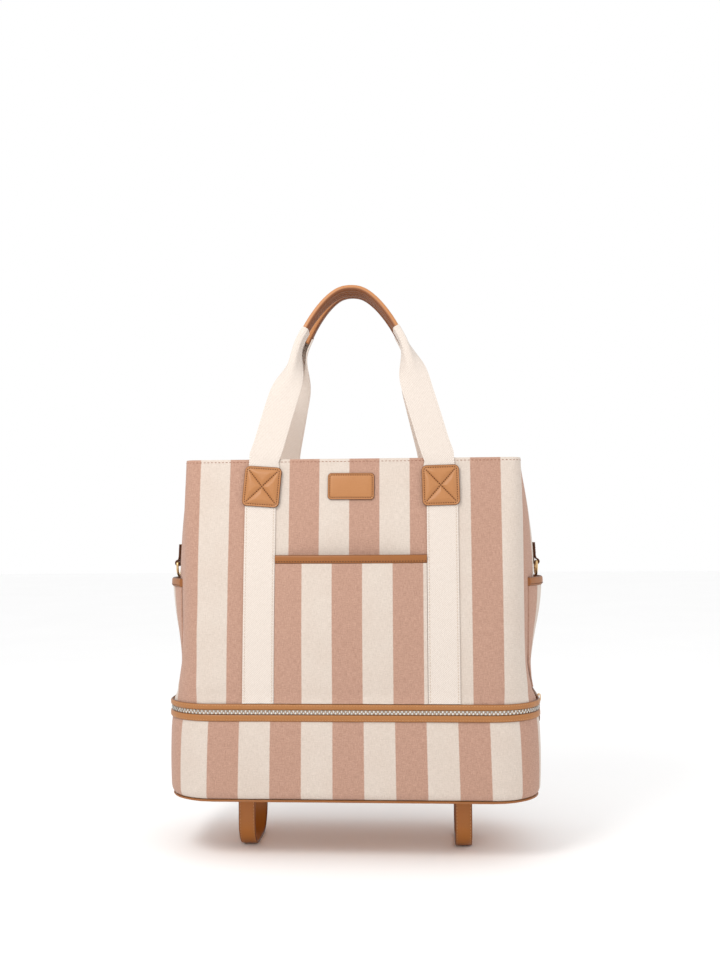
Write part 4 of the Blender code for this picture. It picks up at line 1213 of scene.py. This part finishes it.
# ---- pulls and rim stitching
def build_pull(prefix, normal, hang):
    """A leather pull with rounded ends, pale stitches and a hole for its link."""
    body = f"{prefix}_pull"
    low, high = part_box(body)
    centre, half = (low + high) / 2, (high - low) / 2
    long_axis, out = Vector(hang), Vector(normal)
    across = out.cross(long_axis)
    half_long, half_wide, half_thick = (abs(half.dot(axis)) for axis in (long_axis, across, out))

    def place(p, height):
        return centre + across * p.x + long_axis * p.y + out * half_thick * height

    outline = rounded_outline(half_wide, half_long, 0.0028, 6, 6)
    hole_middle = Vector((0.0, -half_long + 0.0032))
    angles = [math.atan2(p.y - hole_middle.y, p.x) for p in outline]
    hole = [hole_middle + Vector((math.cos(a), math.sin(a))) * 0.0013 for a in angles]
    profile = ((0.0, 1.0, 0), (0.12, 1.0, 0), (0.5, 1.06, 0), (0.88, 1.0, 0), (0.97, 0.72, 1), (1.0, 0.0, 1),
               (0.97, -0.72, 1), (0.88, -1.0, 0), (0.12, -1.0, 0), (0.0, -1.0, 0))
    rows, edges = [], []
    for share, height, edge in profile:
        rows.append([tuple(place(a.lerp(b, share), height)) for a, b in zip(hole, outline)])
        edges.append([edge] * len(outline))
    add_grid(f"{body}_tab", np.array(rows), "leather", body, [body], edge=edges)
    border = rounded_outline(half_wide - 0.0014, half_long - 0.0014, 0.002, 4, 6)
    run = [(place(p, 1.0), out) for p in border if p.y > -half_long + 0.006]
    stitches(f"{body}_stitches", [run], "tan_thread", body, "pull")


def build_rim_stitches():
    """The topstitching 3.5 mm below the rim, all the way round."""
    z = RIM_Z - 0.0035
    level = level_at(z)
    run = []
    for stretch, a, _ in columns_round(flat=90, corner=8, side=20):
        (x, y), out, _ = outline_point(level, stretch, a)
        reach = gusset_x(y, z) - level[0] if stretch in ("left", "right") else 0.0
        run.append((Vector((x + out[0] * reach, y + out[1] * reach, z)), Vector((*out, 0))))
    stitches("rim_stitches", [run + run[:1]], "rim_thread", "upper_bag", "rim")


def finish_cad_nodes():
    """Better materials for the CAD pieces whose shape is right."""
    looks = {
        "leather": ("base_panel", "zip_end_tab_left", "zip_end_tab_right"),
        "board": ("base_board",),
        "lining": ("divider", "main_lining", "lower_lining"),
        "gold": ("mat_strap_snap_left", "mat_strap_snap_right", "top_slider", "top_link", "low_slider",
                 "low_link"),
    }
    for look, nodes in looks.items():
        for node in nodes:
            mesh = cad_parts[node].data
            mesh.materials.clear()
            mesh.materials.append(FINISH[look])
    for node in looks["gold"]:
        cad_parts[node].data.shade_smooth()
        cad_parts[node].data.set_sharp_from_angle(angle=math.radians(45))


# ---- stage
LIGHTS = {                   # place, size, power and tint
    "key": ((-0.5, -0.86, 1.25), 0.5, 7.4, (1.0, 0.99, 0.97)),
    "fill": ((1.6, -1.3, 1.6), 1.4, 5.0, (1.0, 0.99, 0.98)),
}
LIGHTS_AIM = Vector((0.0, 0.0, 0.30))
CAMERA_LENS = 42.26
CAMERA_PLACE = (0.1009, -1.4542, 0.4014)
CAMERA_TURN = (math.pi / 2 + 0.0396, 0.0070, 0.0654)
FLOOR_HALF = 8


def add_light(name, place, size, power, tint):
    data = bpy.data.lights.new(name, "AREA")
    data.shape = "DISK"
    data.size = size
    data.energy = power
    data.color = tint
    obj = bpy.data.objects.new(name, data)
    obj.location = place
    obj.rotation_euler = (LIGHTS_AIM - Vector(place)).to_track_quat("-Z", "Y").to_euler()
    bpy.context.scene.collection.objects.link(obj)


def build_stage():
    """A pale floor, a white room, two soft lights and the camera."""
    paint = Paint("floor_paint", roughness=0.85, specular=0.1)
    cloud = paint.noise(paint.body_place(), 3.0)
    paint.set("Base Color", paint.mix(cloud, colour(250, 250, 250), colour(253, 253, 253)))
    mesh = bpy.data.meshes.new("floor")
    corners = ((-1, -1), (1, -1), (1, 1), (-1, 1))
    mesh.from_pydata([(FLOOR_HALF * a, FLOOR_HALF * b, 0) for a, b in corners], [], [(0, 1, 2, 3)])
    mesh.materials.append(paint.material)
    floor = bpy.data.objects.new("floor", mesh)
    bpy.context.scene.collection.objects.link(floor)

    world = bpy.data.worlds.new("studio")
    world.use_nodes = True
    backdrop = world.node_tree.nodes["Background"]
    backdrop.inputs["Color"].default_value = (1.0, 1.0, 1.0, 1.0)
    backdrop.inputs["Strength"].default_value = 1.0
    bpy.context.scene.world = world
    for name, light in LIGHTS.items():
        add_light(name, *light)

    camera = bpy.data.cameras.new("camera")
    camera.lens = CAMERA_LENS
    camera.sensor_width = 36.0
    eye = bpy.data.objects.new("camera", camera)
    eye.location = CAMERA_PLACE
    eye.rotation_euler = CAMERA_TURN
    bpy.context.scene.collection.objects.link(eye)
    bpy.context.scene.camera = eye
    bpy.context.scene.view_settings.view_transform = "Standard"


# ---- assembly
def main():
    build_stage()
    build_upper_shell()
    build_lower_shell()
    build_shoe_hem()
    build_zip()
    build_base()
    build_patches()
    for side, word in SIDES:
        line = handle_curve(side)
        for hand, hand_word in HANDS:
            build_webbing(side, word, hand, hand_word, line)
        build_grip(side, word, line)
        build_front_pocket(side, word)
        build_flap(side, word)
    for hand, word in HANDS:
        build_side_pocket(hand, word)
        build_ring(hand, word)
    build_pull("top", (0, 0, 1), (0, -1, 0))
    build_pull("low", (1, 0, 0), (0, 0, -1))
    build_rim_stitches()
    finish_cad_nodes()


main()
